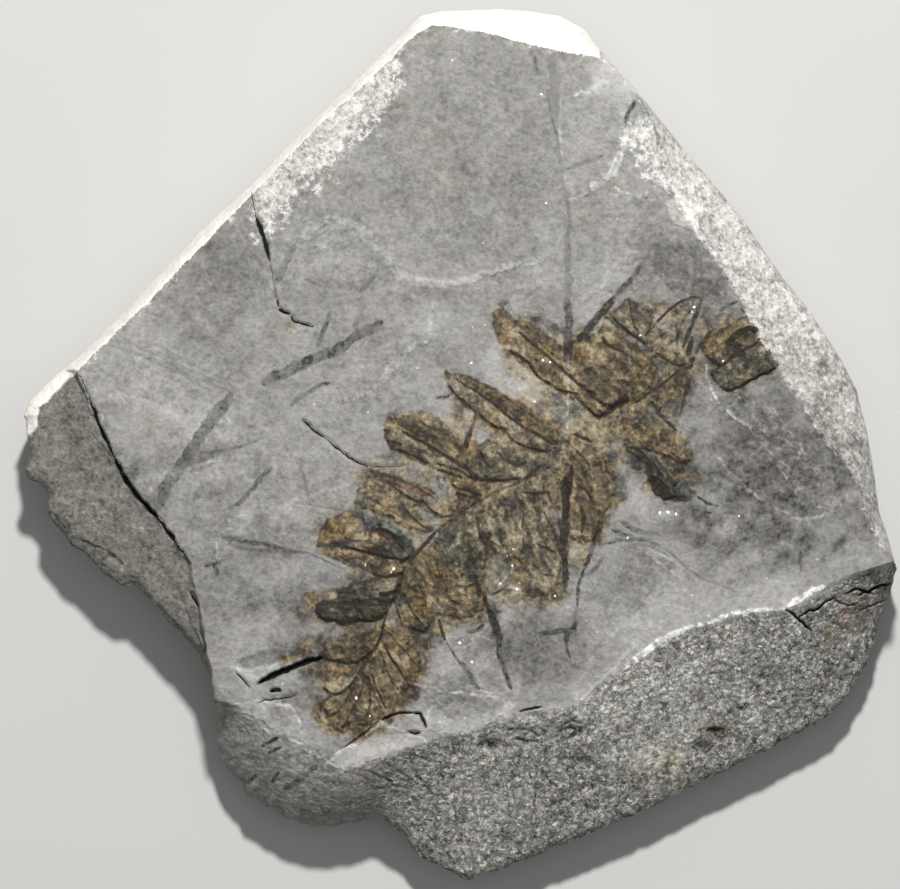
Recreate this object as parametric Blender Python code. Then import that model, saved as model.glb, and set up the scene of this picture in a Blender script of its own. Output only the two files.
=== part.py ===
# Fossil fern plate: one split slab of grey shale. A fern frond lies pressed in its top
# bedding face. Metres, +Z up. The slab lies on its flat underside, and the origin is the
# middle of its footprint at the height of the surface under it.

import math

import bmesh
import bpy
import numpy as np
from mathutils import Vector, noise
from mathutils.geometry import delaunay_2d_cdt

# Driving dimensions, in metres.
PLATE_WIDTH = 0.100          # along X, the whole footprint
BEDDING_HEIGHT = 0.0130      # the fern face above the surface that the slab lies on
CREST_RISE = 0.0008          # the fern face bends up towards the lower break
BREAK_DROP = 0.0062          # the lower break falls this far from the crest to the edge
RIND_DROP = 0.0034           # the weathered rind falls this far outwards, upper left
BEVEL_DROP = 0.0042          # the speckled bevel falls this far outwards, right
SHELF_DROP = 0.0010          # the lower bed at the left edge lies this far down
SHELF_SLOPE = 0.0022         # and falls this much more to the outline
BEDDING_SWELL = 0.00012      # gentle waves of the fern face
BREAK_LUMPS = 0.00042        # lumps of the lower break
LEAFLET_RISE = 0.00035
STALK_RISE = 0.00030
EDGE_ROUNDING = 0.0006
SEED = 11

# The plan is drawn in plan units. Columns run to the right (+X), rows run down (-Y).
LEFT_COLUMN = 22
RIGHT_COLUMN = 898
TOP_ROW = 8
BOTTOM_ROW = 883
PLAN_UNIT = PLATE_WIDTH / (RIGHT_COLUMN - LEFT_COLUMN)
MIDDLE = np.array([(LEFT_COLUMN + RIGHT_COLUMN) / 2, (TOP_ROW + BOTTOM_ROW) / 2])

OUTLINE = [
    (22, 416), (30, 400), (55, 375), (80, 355), (120, 315), (155, 278), (200, 230), (250, 185),
    (300, 132), (350, 85), (395, 40), (420, 15), (440, 10), (500, 8), (530, 10), (560, 15),
    (585, 28), (600, 48), (625, 75), (650, 105), (690, 155), (720, 190), (745, 220), (775, 265),
    (810, 310), (840, 355), (858, 390), (868, 430), (875, 470), (880, 510), (890, 540),
    (898, 572), (890, 600), (880, 620), (875, 645), (868, 665), (855, 690), (835, 715),
    (800, 735), (760, 755), (700, 785), (650, 810), (600, 832), (550, 852), (500, 872),
    (465, 883), (455, 875), (425, 862), (415, 855), (405, 840), (390, 827), (376, 818),
    (350, 825), (312, 829), (290, 822), (270, 812), (258, 803), (245, 797), (240, 785),
    (225, 770), (218, 755), (215, 735), (215, 700), (210, 680), (200, 655), (185, 640),
    (170, 625), (150, 600), (132, 583), (120, 585), (105, 575), (85, 555), (70, 545),
    (55, 525), (45, 512), (47, 495), (40, 485), (28, 478), (24, 470), (30, 456), (28, 440),
]

# Inner edges of the zones that slope to the outline.
RIND_LINE = [
    (35, 412), (80, 372), (150, 300), (250, 197), (330, 115), (400, 50), (432, 25), (480, 32),
    (520, 42), (545, 48), (580, 50), (600, 57),
]
BEVEL_LINE = [
    (600, 57), (640, 100), (657, 145), (665, 185), (694, 230), (728, 280), (760, 338),
    (790, 400), (830, 455), (850, 475), (868, 520), (893, 562),
]
SHELF_LINE = [
    (77, 371), (98, 422), (115, 459), (130, 487), (161, 522), (174, 541), (191, 564),
    (197, 590), (203, 620), (205, 640), (212, 672),
]
CREST_LINE = [
    (216, 700), (262, 712), (300, 738), (345, 767), (382, 754), (425, 742), (450, 734),
    (480, 724), (512, 718), (540, 710), (572, 705), (598, 683), (623, 664), (650, 648),
    (666, 633), (693, 625), (714, 622), (749, 609), (787, 609), (803, 598), (841, 578),
    (873, 566), (893, 562),
]

# Cracks: a name, the half width and depth in plan units, and the line that they follow.
CRACKS = [
    ("shelf", 5, 7, [(80, 376), (98, 422), (115, 459), (130, 487), (161, 522), (190, 562)]),
    ("upper left", 4, 5, [(252, 190), (262, 225), (272, 265), (278, 300), (292, 318), (311, 326)]),
    ("middle left", 4, 4, [(302, 420), (330, 443), (355, 462), (368, 468)]),
    ("lens", 6, 8, [(268, 677), (295, 667), (321, 659)]),
    ("flake", 4, 6, [(382, 719), (395, 715), (413, 713), (423, 722), (426, 728)]),
    ("flake tail", 4, 5, [(340, 750), (352, 742), (365, 733), (378, 722)]),
    ("right corner", 5, 9, [(787, 610), (797, 618), (811, 630)]),
    ("right bed", 5, 9, [(799, 617), (818, 608), (841, 594), (862, 591), (889, 585)]),
    ("lower right", 4, 5, [(865, 610), (880, 603)]),
]
# Rises: a name, the half width and height in plan units, and the line that they follow.
RIDGES = [
    ("upper bed edge", 10, 2.5,
     [(300, 235), (330, 222), (370, 240), (400, 278), (450, 284), (500, 268), (545, 258)]),
    ("left bed edge", 9, 2.5, [(440, 290), (428, 340), (405, 350), (385, 378), (345, 400)]),
    ("buried stem", 7, 2.5, [(568, 358), (568, 400), (567, 440)]),
    ("top step", 9, 3, [(630, 130), (612, 170), (580, 195)]),
    ("right step", 8, 2, [(708, 370), (720, 405), (750, 427), (785, 450)]),
]
# Pits and scoops: middle, half sizes and depth, in plan units.
HOLLOWS = [
    ((345, 257), (42, 28), 5), ((455, 708), (50, 20), 6), ((385, 742), (45, 17), 6),
    ((490, 745), (15, 9), 9), ((575, 730), (16, 9), 7), ((702, 742), (20, 10), 9),
    ((722, 731), (14, 8), 7), ((412, 733), (12, 6), 6), ((276, 691), (12, 6), 6),
    ((120, 470), (40, 60), 4),
]

# The frond. The stalk runs from its growing tip, lower left, to the cut at the right bevel.
STALK = [
    (358, 690), (368, 662), (380, 635), (386, 607), (398, 580), (415, 555), (437, 530),
    (462, 513), (495, 492), (530, 478), (560, 450), (600, 418), (640, 395), (670, 375),
    (693, 359),
]
# Leaflets: base, tip, half width and sideways bow, in plan units.
LEAFLETS = [
    ((366, 672), (324, 694), 9, 2), ((376, 642), (318, 652), 12, -2), ((388, 606), (316, 612), 13, 0),
    ((396, 588), (352, 592), 9, 0), ((402, 570), (330, 556), 9, 2), ((416, 556), (322, 535), 16, 3),
    ((408, 538), (362, 520), 10, 2), ((438, 526), (362, 492), 13, 3), ((450, 515), (366, 472), 13, 3),
    ((482, 494), (434, 466), 11, 0), ((500, 480), (384, 428), 19, 4), ((505, 474), (470, 425), 13, 0),
    ((556, 444), (446, 372), 17, 3), ((612, 406), (498, 322), 22, 3), ((622, 398), (572, 352), 20, 0),
    ((640, 390), (604, 342), 17, 0), ((648, 348), (608, 314), 9, 0), ((656, 382), (636, 344), 12, 0),
    ((680, 366), (660, 312), 13, 0), ((712, 356), (764, 320), 12, 0), ((714, 372), (772, 358), 16, 0),
    ((366, 668), (322, 716), 9, 0), ((366, 668), (340, 728), 9, 0), ((366, 668), (362, 726), 9, 0),
    ((370, 662), (386, 712), 9, 0), ((374, 655), (408, 694), 10, 0), ((386, 636), (412, 678), 11, -2),
    ((394, 604), (426, 636), 12, -2), ((402, 580), (430, 606), 10, 0), ((412, 562), (462, 612), 17, -3),
    ((446, 530), (482, 598), 18, 0), ((500, 494), (545, 590), 24, 0), ((566, 456), (590, 530), 19, 0),
    ((596, 428), (630, 470), 15, 0), ((630, 434), (688, 492), 17, 0), ((636, 408), (690, 462), 14, -3),
]

# Walls under the outline: share of the edge height, and share of the plan size kept.
WALL_RINGS = [(0.80, 0.996), (0.62, 0.992), (0.42, 0.982), (0.20, 0.955), (0.0, 0.91)]
WALL_CHIPS = 0.035           # deepest chip, as a share of the plan size
WALL_CHIP_DENSITY = 170.0    # chips per metre

# Widths and sizes in plan units.
CREST_REACH = 60.0           # how far back from the crest the fern face bends up
CREST_START = 430            # column where that bend starts, full CREST_FADE further right
CREST_FADE = 200
SWELL_SIZE = 90.0
LARGE_LUMPS = 34.0
SMALL_LUMPS = 13.0
LUMP_START = 25.0            # distance from the crest at which the lumps are full
SHELF_STEP = 4.0
EDGE_REACH = 8.0
STALK_HALF_WIDTH = 5.0
MIDRIB_HALF_WIDTH = 2.5

OUTLINE_STEP = 15
LINE_STEP = 15
PLAIN_SPACING = 42
SLOPE_SPACING = 22
BREAK_SPACING = 12.5
MERGE_DISTANCE = 1.2
LEAFLET_SECTIONS = 5
ZONE_OVERHANG = 1.04         # zones reach past the outline, so that its own points fall in them
CLEARANCE = 0.30             # filler points keep this share of their spacing from drawn lines


def resample(line, step, closed=False):
    """Points along a line at about one step apart, its own corners kept."""
    corners = list(line) + ([line[0]] if closed else [])
    points = []
    for start, end in zip(corners[:-1], corners[1:]):
        pieces = max(1, round(math.dist(start, end) / step))
        for index in range(pieces):
            share = index / pieces
            points.append([start[axis] + (end[axis] - start[axis]) * share for axis in (0, 1)])
    if not closed:
        points.append(corners[-1])
    return np.array(points, dtype=float)


def distance_to(points, line):
    """Distance from each point to a line, and how far along the line its foot is (0 to 1)."""
    corners = np.asarray(line, dtype=float)
    lengths = np.linalg.norm(np.diff(corners, axis=0), axis=1)
    travelled = np.concatenate([[0.0], np.cumsum(lengths)])
    best = np.full(len(points), np.inf)
    along = np.zeros(len(points))
    for index, (start, end) in enumerate(zip(corners[:-1], corners[1:])):
        run = end - start
        share = np.clip((points - start) @ run / (run @ run), 0.0, 1.0)
        distance = np.linalg.norm(points - start - share[:, None] * run, axis=1)
        closer = distance < best
        best[closer] = distance[closer]
        along[closer] = (travelled[index] + share[closer] * lengths[index]) / travelled[-1]
    return best, along


def inside(points, polygon):
    """Whether each point lies inside a closed polygon (crossings of a ray to the right)."""
    corners = np.asarray(polygon, dtype=float)
    result = np.zeros(len(points), dtype=bool)
    for start, end in zip(corners, np.roll(corners, -1, axis=0)):
        spans = (start[1] > points[:, 1]) != (end[1] > points[:, 1])
        rise = (end[1] - start[1]) or 1.0
        crossing = start[0] + (points[:, 1] - start[1]) * (end[0] - start[0]) / rise
        result ^= spans & (points[:, 0] < crossing)
    return result


def outline_between(first, last):
    """Outline corners, pushed out a little, clockwise from near the first point to near the last."""
    corners = np.array(OUTLINE, dtype=float)
    start = int(np.argmin(np.linalg.norm(corners - np.array(first), axis=1)))
    end = int(np.argmin(np.linalg.norm(corners - np.array(last), axis=1)))
    count = (end - start) % len(OUTLINE) + 1
    stretch = corners[(start + np.arange(count)) % len(OUTLINE)]
    return [tuple(point) for point in MIDDLE + (stretch - MIDDLE) * ZONE_OVERHANG]


def zone(inner_line, clockwise_start, clockwise_end):
    """The polygon between an inner line and the stretch of outline outside it."""
    return outline_between(clockwise_start, clockwise_end) + list(reversed(inner_line))


RIND_ZONE = zone(RIND_LINE, RIND_LINE[0], RIND_LINE[-1])
BEVEL_ZONE = zone(BEVEL_LINE, BEVEL_LINE[0], BEVEL_LINE[-1])
SHELF_ZONE = outline_between(SHELF_LINE[-1], SHELF_LINE[0]) + SHELF_LINE
BREAK_ZONE = outline_between(CREST_LINE[-1], CREST_LINE[0]) + CREST_LINE


def lumps(points, size, seed):
    """Smooth noise over the plan, about -1 to 1, with lumps of the given size."""
    return np.array([noise.noise(Vector((c / size, r / size, seed))) for c, r in points]) * 2.0


def leaflet_midrib(base, tip, bow):
    """A bowed midrib, with its tangent's left-hand normal at each of its points."""
    base, tip = np.array(base, dtype=float), np.array(tip, dtype=float)
    share = np.linspace(0.0, 1.0, LEAFLET_SECTIONS + 2)[:, None]
    run = tip - base
    across = np.array([-run[1], run[0]]) / np.linalg.norm(run)
    middle = base + run * share + across * bow * 4 * share * (1 - share)
    return middle, np.broadcast_to(across, middle.shape)


def leaflet_width(share, half_width):
    """Half width along a leaflet: narrow base, widest before the middle, rounded tip."""
    return half_width * np.sin(math.pi * np.clip(0.12 + 0.88 * share, 0.0, 1.0)) ** 0.6


def leaflet_rise(points):
    """Height of the pressed leaflets: a low vault either side of each midrib."""
    rise = np.zeros(len(points))
    for base, tip, half_width, bow in LEAFLETS:
        middle, _ = leaflet_midrib(base, tip, bow)
        distance, along = distance_to(points, middle)
        width = np.maximum(leaflet_width(along, half_width), 0.5)
        vault = np.clip(1.0 - (distance / width) ** 2, 0.0, 1.0) ** 0.7
        groove = 0.35 * np.exp(-((distance / MIDRIB_HALF_WIDTH) ** 2))
        rise = np.maximum(rise, LEAFLET_RISE * vault * (1.0 - groove))
    return rise


def slope_zone(points, to_edge, polygon, inner_line, drop, power):
    """Drop of a zone that falls from its inner line (0) to the outline (full drop)."""
    to_inner, _ = distance_to(points, inner_line)
    share = to_inner / np.maximum(to_inner + to_edge, 1e-6)
    return np.where(inside(points, polygon), drop * share ** power, 0.0)


def crest_swell(points):
    """The fern face bends up towards the right half of the crest."""
    to_crest, _ = distance_to(points, CREST_LINE)
    fade = np.clip((points[:, 0] - CREST_START) / CREST_FADE, 0.0, 1.0)
    return CREST_RISE * fade * np.exp(-((to_crest / CREST_REACH) ** 2))


def break_lumps(points):
    """Lumps of the lower break, fading in below the crest and calmer to the left."""
    to_crest, _ = distance_to(points, CREST_LINE)
    grown = np.where(inside(points, BREAK_ZONE), np.clip(to_crest / LUMP_START, 0.0, 1.0), 0.0)
    calmer = np.clip((points[:, 0] - 330) / 90, 0.35, 1.0)
    coarse = lumps(points, LARGE_LUMPS, SEED + 1) + 0.6 * lumps(points, SMALL_LUMPS, SEED + 2)
    return BREAK_LUMPS * grown * calmer * coarse


def drawn_relief(points):
    """Cracks and ridges along their lines, each with a V section, and round hollows."""
    relief = np.zeros(len(points))
    features = [(half_width, -depth, 0.15, line) for _, half_width, depth, line in CRACKS]
    features += [(half_width, rise, 0.0, line) for _, half_width, rise, line in RIDGES]
    for half_width, rise, least, line in features:
        distance, along = distance_to(points, line)
        taper = np.clip(np.minimum(along, 1.0 - along) * 5.0, least, 1.0)
        relief += rise * PLAN_UNIT * taper * np.clip(1.0 - distance / half_width, 0.0, 1.0)
    for middle, half_sizes, depth in HOLLOWS:
        reach = np.linalg.norm((points - np.array(middle)) / np.array(half_sizes), axis=1)
        relief -= depth * PLAN_UNIT * np.clip(1.0 - reach ** 2, 0.0, 1.0)
    return relief


def top_height(points):
    """Height of the top of the slab over plan points."""
    to_edge, _ = distance_to(points, OUTLINE + OUTLINE[:1])
    to_shelf, _ = distance_to(points, SHELF_LINE)
    to_stalk, _ = distance_to(points, STALK)
    step_down = SHELF_DROP * np.clip(to_shelf / SHELF_STEP, 0.0, 1.0)
    stalk = STALK_RISE * np.clip(1.0 - to_stalk / STALK_HALF_WIDTH, 0.0, 1.0)
    height = BEDDING_HEIGHT + BEDDING_SWELL * lumps(points, SWELL_SIZE, SEED)
    height += crest_swell(points) + break_lumps(points) + drawn_relief(points)
    height += np.maximum(leaflet_rise(points), stalk)
    height -= slope_zone(points, to_edge, BREAK_ZONE, CREST_LINE, BREAK_DROP, 0.9)
    height -= slope_zone(points, to_edge, RIND_ZONE, RIND_LINE, RIND_DROP, 1.4)
    height -= slope_zone(points, to_edge, BEVEL_ZONE, BEVEL_LINE, BEVEL_DROP, 1.2)
    height -= slope_zone(points, to_edge, SHELF_ZONE, SHELF_LINE, SHELF_SLOPE, 1.0)
    height -= np.where(inside(points, SHELF_ZONE), step_down, 0.0)
    height -= EDGE_ROUNDING * np.clip(1.0 - to_edge / EDGE_REACH, 0.0, 1.0) ** 2
    return height


def side_rails(line, offset):
    """Two lines, one on each side of a line."""
    points = resample(line, LINE_STEP)
    tangent = np.gradient(points, axis=0)
    across = np.stack([-tangent[:, 1], tangent[:, 0]], axis=1)
    across /= np.linalg.norm(across, axis=1)[:, None]
    return points + across * offset, points - across * offset


def leaflet_rings():
    """The margin, an inner ring and the midrib of every leaflet, as lines."""
    rings = []
    for base, tip, half_width, bow in LEAFLETS:
        middle, across = leaflet_midrib(base, tip, bow)
        width = leaflet_width(np.linspace(0.0, 1.0, len(middle)), half_width)[:, None]
        for share in (1.0, 0.55):
            left = middle[:-1] + (across * width * share)[:-1]
            right = middle[:-1] - (across * width * share)[:-1]
            rings.append(np.concatenate([left, middle[-1:], right[::-1]]))
        rings.append(middle)
    return rings


def filler_points(generator, spacing, wanted):
    """Jittered points on a staggered grid over the outline, where wanted() says so."""
    rows = np.arange(TOP_ROW, BOTTOM_ROW, spacing * 0.866)
    columns = np.arange(LEFT_COLUMN, RIGHT_COLUMN, spacing)
    shifts = [spacing / 2 * (index % 2) for index in range(len(rows))]
    grid = np.array([(column + shift, row) for row, shift in zip(rows, shifts) for column in columns])
    grid = grid + generator.uniform(-0.28, 0.28, grid.shape) * spacing
    return grid[inside(grid, OUTLINE) & wanted(grid)]


def keep_clear(points, others, gap):
    """Points that stay at least a gap away from all the others."""
    kept = np.ones(len(points), dtype=bool)
    for index, point in enumerate(points):
        kept[index] = np.min(np.linalg.norm(others - point, axis=1)) > gap
    return points[kept]


def drawn_lines():
    """Every line that the triangles follow, cut off where it comes close to the outline."""
    plain = (RIND_LINE, BEVEL_LINE, SHELF_LINE, CREST_LINE, STALK)
    lines = [resample(line, LINE_STEP) for line in plain]
    for _, half_width, _, line in CRACKS + RIDGES:
        lines += [resample(line, LINE_STEP), *side_rails(line, half_width)]
    lines += side_rails(STALK, STALK_HALF_WIDTH)
    lines += leaflet_rings()
    kept = []
    for line in lines:
        to_edge, _ = distance_to(line, OUTLINE + OUTLINE[:1])
        kept.append(line[inside(line, OUTLINE) & (to_edge > SHELF_STEP)])
    return [line for line in kept if len(line) > 1]


def plan_mesh():
    """Triangles over the whole outline that follow the edges, cracks, ridges and leaflets."""
    generator = np.random.default_rng(SEED)
    edge_loop = resample(OUTLINE, OUTLINE_STEP, closed=True)
    lines = drawn_lines()
    fixed = np.concatenate([edge_loop] + lines)

    def in_break(points):
        return inside(points, BREAK_ZONE)

    def on_slope(points):
        slopes = [inside(points, polygon) for polygon in (RIND_ZONE, BEVEL_ZONE, SHELF_ZONE)]
        return np.any(slopes, axis=0) & ~in_break(points)

    def on_plain(points):
        return ~in_break(points) & ~on_slope(points)

    fillers = []
    kinds = ((BREAK_SPACING, in_break), (SLOPE_SPACING, on_slope), (PLAIN_SPACING, on_plain))
    for spacing, wanted in kinds:
        grid = filler_points(generator, spacing, wanted)
        fillers.append(keep_clear(grid, fixed, spacing * CLEARANCE))
    points = np.concatenate([fixed] + fillers)
    edges = []
    first = len(edge_loop)
    for line in lines:
        edges += [(first + index, first + index + 1) for index in range(len(line) - 1)]
        first += len(line)
    corners = [Vector(point) for point in points]
    border = [list(range(len(edge_loop)))]
    found, _, faces, *_ = delaunay_2d_cdt(corners, edges, border, 1, MERGE_DISTANCE)
    return np.array([tuple(corner) for corner in found]), faces


def place(points, heights):
    """Plan points and heights as places in the part's frame."""
    across = (points[:, 0] - MIDDLE[0]) * PLAN_UNIT
    up = (MIDDLE[1] - points[:, 1]) * PLAN_UNIT
    return np.stack([across, up, heights], axis=1)


def add_wall_ring(shape, rim, ring):
    """Extrude the open rim down and in by one ring, with chips broken out of it."""
    level, size = WALL_RINGS[ring]
    level_above, size_above = WALL_RINGS[ring - 1] if ring else (1.0, 1.0)
    grown = bmesh.ops.extrude_edge_only(shape, edges=rim)["geom"]
    for vertex in (item for item in grown if isinstance(item, bmesh.types.BMVert)):
        spot = vertex.co * WALL_CHIP_DENSITY
        chip = 1.0 - WALL_CHIPS * abs(noise.noise(Vector((spot.x, spot.y, ring * 3.7))))
        shrink = size / size_above * (chip if level > 0 else 1.0)
        vertex.co = Vector((vertex.co.x * shrink, vertex.co.y * shrink, vertex.co.z * level / level_above))
    return [item for item in grown if isinstance(item, bmesh.types.BMEdge) and item.is_boundary]


def build_slab(name, material):
    """One closed body: the shaped top, walls that draw in under the edge, and a flat base."""
    points, faces = plan_mesh()
    heights = top_height(points)
    shape = bmesh.new()
    vertices = [shape.verts.new(tuple(corner)) for corner in place(points, heights)]
    for face in faces:
        shape.faces.new([vertices[index] for index in face])
    rim = [edge for edge in shape.edges if edge.is_boundary]
    for ring in range(len(WALL_RINGS)):
        rim = add_wall_ring(shape, rim, ring)
    bmesh.ops.contextual_create(shape, geom=rim)
    bmesh.ops.recalc_face_normals(shape, faces=shape.faces[:])
    if shape.calc_volume(signed=True) < 0:
        bmesh.ops.reverse_faces(shape, faces=shape.faces[:])
    bmesh.ops.triangulate(shape, faces=shape.faces[:])
    mesh = bpy.data.meshes.new(name)
    shape.to_mesh(mesh)
    shape.free()
    mesh.materials.append(material)
    slab = bpy.data.objects.new(name, mesh)
    bpy.context.scene.collection.objects.link(slab)
    return slab


def stone(name, colour, roughness):
    """A plain dull stone finish."""
    material = bpy.data.materials.new(name)
    material.use_nodes = True
    shader = material.node_tree.nodes["Principled BSDF"]
    shader.inputs["Base Color"].default_value = (*colour, 1.0)
    shader.inputs["Roughness"].default_value = roughness
    shader.inputs["Metallic"].default_value = 0.0
    return material


def main():
    for item in list(bpy.data.objects):
        bpy.data.objects.remove(item, do_unlink=True)
    build_slab("shale_plate", stone("grey_shale", (0.19, 0.18, 0.165), 0.85))


main()
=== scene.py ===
import math

import bpy
import numpy as np
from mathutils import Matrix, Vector


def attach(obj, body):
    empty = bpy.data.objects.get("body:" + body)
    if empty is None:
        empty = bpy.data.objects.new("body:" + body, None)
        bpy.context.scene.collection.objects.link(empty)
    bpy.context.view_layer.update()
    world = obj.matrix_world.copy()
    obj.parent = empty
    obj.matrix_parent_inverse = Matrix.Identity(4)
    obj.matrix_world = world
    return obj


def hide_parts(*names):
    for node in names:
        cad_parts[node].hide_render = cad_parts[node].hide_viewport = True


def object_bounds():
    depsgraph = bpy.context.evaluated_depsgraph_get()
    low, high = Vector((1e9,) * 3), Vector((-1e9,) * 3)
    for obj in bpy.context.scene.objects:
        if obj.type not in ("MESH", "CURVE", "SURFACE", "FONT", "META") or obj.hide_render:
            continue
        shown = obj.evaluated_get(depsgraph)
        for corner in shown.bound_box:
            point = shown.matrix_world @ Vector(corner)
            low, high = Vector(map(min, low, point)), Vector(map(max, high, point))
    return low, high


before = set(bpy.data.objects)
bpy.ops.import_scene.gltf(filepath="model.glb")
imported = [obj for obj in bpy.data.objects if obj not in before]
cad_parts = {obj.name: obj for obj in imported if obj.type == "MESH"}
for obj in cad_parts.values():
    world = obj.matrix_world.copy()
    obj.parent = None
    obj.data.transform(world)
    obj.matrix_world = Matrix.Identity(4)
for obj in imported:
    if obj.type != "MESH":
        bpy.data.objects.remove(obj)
cadBox = [list(corner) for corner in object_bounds()]

# The plan of the slab is drawn in plan units: columns run to +X, rows run down to -Y. These are the columns and
# rows that its outline reaches.
plan = {"left": 22, "right": 898, "top": 8, "bottom": 883}
unit = (cadBox[1][0] - cadBox[0][0]) / (plan["right"] - plan["left"])
middle = np.array([(plan["left"] + plan["right"]) / 2, (plan["top"] + plan["bottom"]) / 2])
millimetre = 0.001


def path(text):
    # "column,row" of the first point and then the step to each next one, as an array of points
    return np.cumsum([[float(n) for n in pair.split(",")] for pair in text.split()], axis=0)


def spread(line, step, closed=False):
    # points along a line at equal steps of its length
    corners = np.concatenate([line, line[:1]]) if closed else np.asarray(line, float)
    travelled = np.concatenate([[0], np.cumsum(np.linalg.norm(np.diff(corners, axis=0), axis=1))])
    count = max(2, int(round(travelled[-1] / step)) + 1)
    at = np.linspace(0, travelled[-1], count)[:-1 if closed else None]
    return np.stack([np.interp(at, travelled, corners[:, axis]) for axis in (0, 1)], axis=1)


def split(line, count):
    # a set number of points along a line, equal steps apart
    travelled = np.concatenate([[0], np.cumsum(np.linalg.norm(np.diff(line, axis=0), axis=1))])
    at = np.linspace(0, travelled[-1], count)
    return np.stack([np.interp(at, travelled, line[:, axis]) for axis in (0, 1)], axis=1)


def toLine(points, line, reach):
    # distance to a line (reach where further), share of its length at the foot, side (+ right of travel);
    # segments are taken a few at a time so that only the points around them are looked at
    corners = np.asarray(line, float)
    lengths = np.linalg.norm(np.diff(corners, axis=0), axis=1)
    travelled = np.concatenate([[0], np.cumsum(lengths)])
    away = np.full(len(points), float(reach))
    along = np.zeros(len(points))
    side = np.ones(len(points))
    for first in range(0, len(lengths), 10):
        last = min(first + 10, len(lengths))
        low, high = corners[first:last + 1].min(0) - reach, corners[first:last + 1].max(0) + reach
        near = np.flatnonzero(np.all((points > low) & (points < high), axis=1))
        if not len(near):
            continue
        spot = points[near]
        best, share, turn = away[near], along[near], side[near]
        for i in range(first, last):
            start, run = corners[i], corners[i + 1] - corners[i]
            gap = spot - start
            foot = np.clip(gap @ run / max(run @ run, 1e-9), 0, 1)
            distance = np.hypot(gap[:, 0] - foot * run[0], gap[:, 1] - foot * run[1])
            closer = distance < best
            best[closer] = distance[closer]
            share[closer] = (travelled[i] + foot[closer] * lengths[i]) / travelled[-1]
            turn[closer] = np.sign(run[0] * gap[closer, 1] - run[1] * gap[closer, 0])
        away[near], along[near], side[near] = best, share, turn
    return away, along, side


def inside(points, polygon):
    # crossings of a ray to the right
    corners = np.asarray(polygon, float)
    result = np.zeros(len(points), bool)
    near = np.flatnonzero(np.all((points > corners.min(0)) & (points < corners.max(0)), axis=1))
    spot = points[near]
    found = np.zeros(len(near), bool)
    for start, end in zip(corners, np.roll(corners, -1, axis=0)):
        spans = (start[1] > spot[:, 1]) != (end[1] > spot[:, 1])
        rise = (end[1] - start[1]) or 1
        found ^= spans & (spot[:, 0] < start[0] + (spot[:, 1] - start[1]) * (end[0] - start[0]) / rise)
    result[near] = found
    return result


def depthIn(points, polygon, reach):
    # distance to a polygon's border, positive inside, negative outside
    away, _, _ = toLine(points, np.concatenate([polygon, polygon[:1]]), reach)
    return np.where(inside(points, polygon), away, -away)


def smooth(value, low, high):
    # 0 below low, 1 above high, an S curve between
    t = np.clip((value - low) / (high - low), 0, 1)
    return t * t * (3 - 2 * t)


slopes = np.random.default_rng(5).random((256, 256)) * 2 * math.pi
slopeX, slopeY = np.cos(slopes), np.sin(slopes)


def noise(points, size, seed=0):
    # gradient noise: slopes at whole-number corners, blended by the quintic fade, about -1 to 1
    x, y = points[:, 0] / size + seed * 17.3 + 500, points[:, 1] / size + seed * 9.1 + 500
    ix, iy = np.floor(x).astype(np.int64), np.floor(y).astype(np.int64)
    fx, fy = x - ix, y - iy
    u, v = fx ** 3 * (fx * (fx * 6 - 15) + 10), fy ** 3 * (fy * (fy * 6 - 15) + 10)

    def slope(dx, dy):
        cell = (ix + dx) & 255, (iy + dy) & 255
        return slopeX[cell] * (fx - dx) + slopeY[cell] * (fy - dy)

    upper = slope(0, 0) * (1 - u) + slope(1, 0) * u
    lower = slope(0, 1) * (1 - u) + slope(1, 1) * u
    return (upper * (1 - v) + lower * v) * 1.6


def fractal(points, size, octaves, seed=0, gain=0.55):
    # noise summed over octaves, each half the size and gain times the strength
    total = sum(noise(points, size / 2 ** k, seed + k) * gain ** k for k in range(octaves))
    return total / sum(gain ** k for k in range(octaves)) * 1.3


def pebbles(points, size, seed=0):
    # distance to the nearest of one jittered seed per cell, and that seed's own number 0 to 1
    x, y = points[:, 0] / size + seed * 5.7 + 500, points[:, 1] / size + seed * 3.1 + 500
    ix, iy = np.floor(x).astype(np.int64), np.floor(y).astype(np.int64)
    best, tag = np.full(len(points), 9.0), np.zeros(len(points))
    for dx in (-1, 0, 1):
        for dy in (-1, 0, 1):
            pick = slopes[(ix + dx) & 255, (iy + dy) & 255] / (2 * math.pi)
            other = slopes[(iy + dy + 99) & 255, (ix + dx + 31) & 255] / (2 * math.pi)
            away = np.hypot(ix + dx + pick - x, iy + dy + other - y)
            closer = away < best
            best[closer], tag[closer] = away[closer], (pick[closer] * 7.7) % 1
    return best, tag


def roughen(line, amount, size, seed, closed=False, step=3):
    # a drawn line made ragged: its points pushed about by noise of their own places
    points = spread(line, step, closed)
    fade = np.ones(len(points))
    if not closed:
        fade = np.clip(np.minimum(np.arange(len(points)), np.arange(len(points))[::-1]) / 3, 0, 1)
    push = np.stack([fractal(points, size, 3, seed), fractal(points, size, 3, seed + 5)], axis=1)
    return points + push * amount * fade[:, None]


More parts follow.
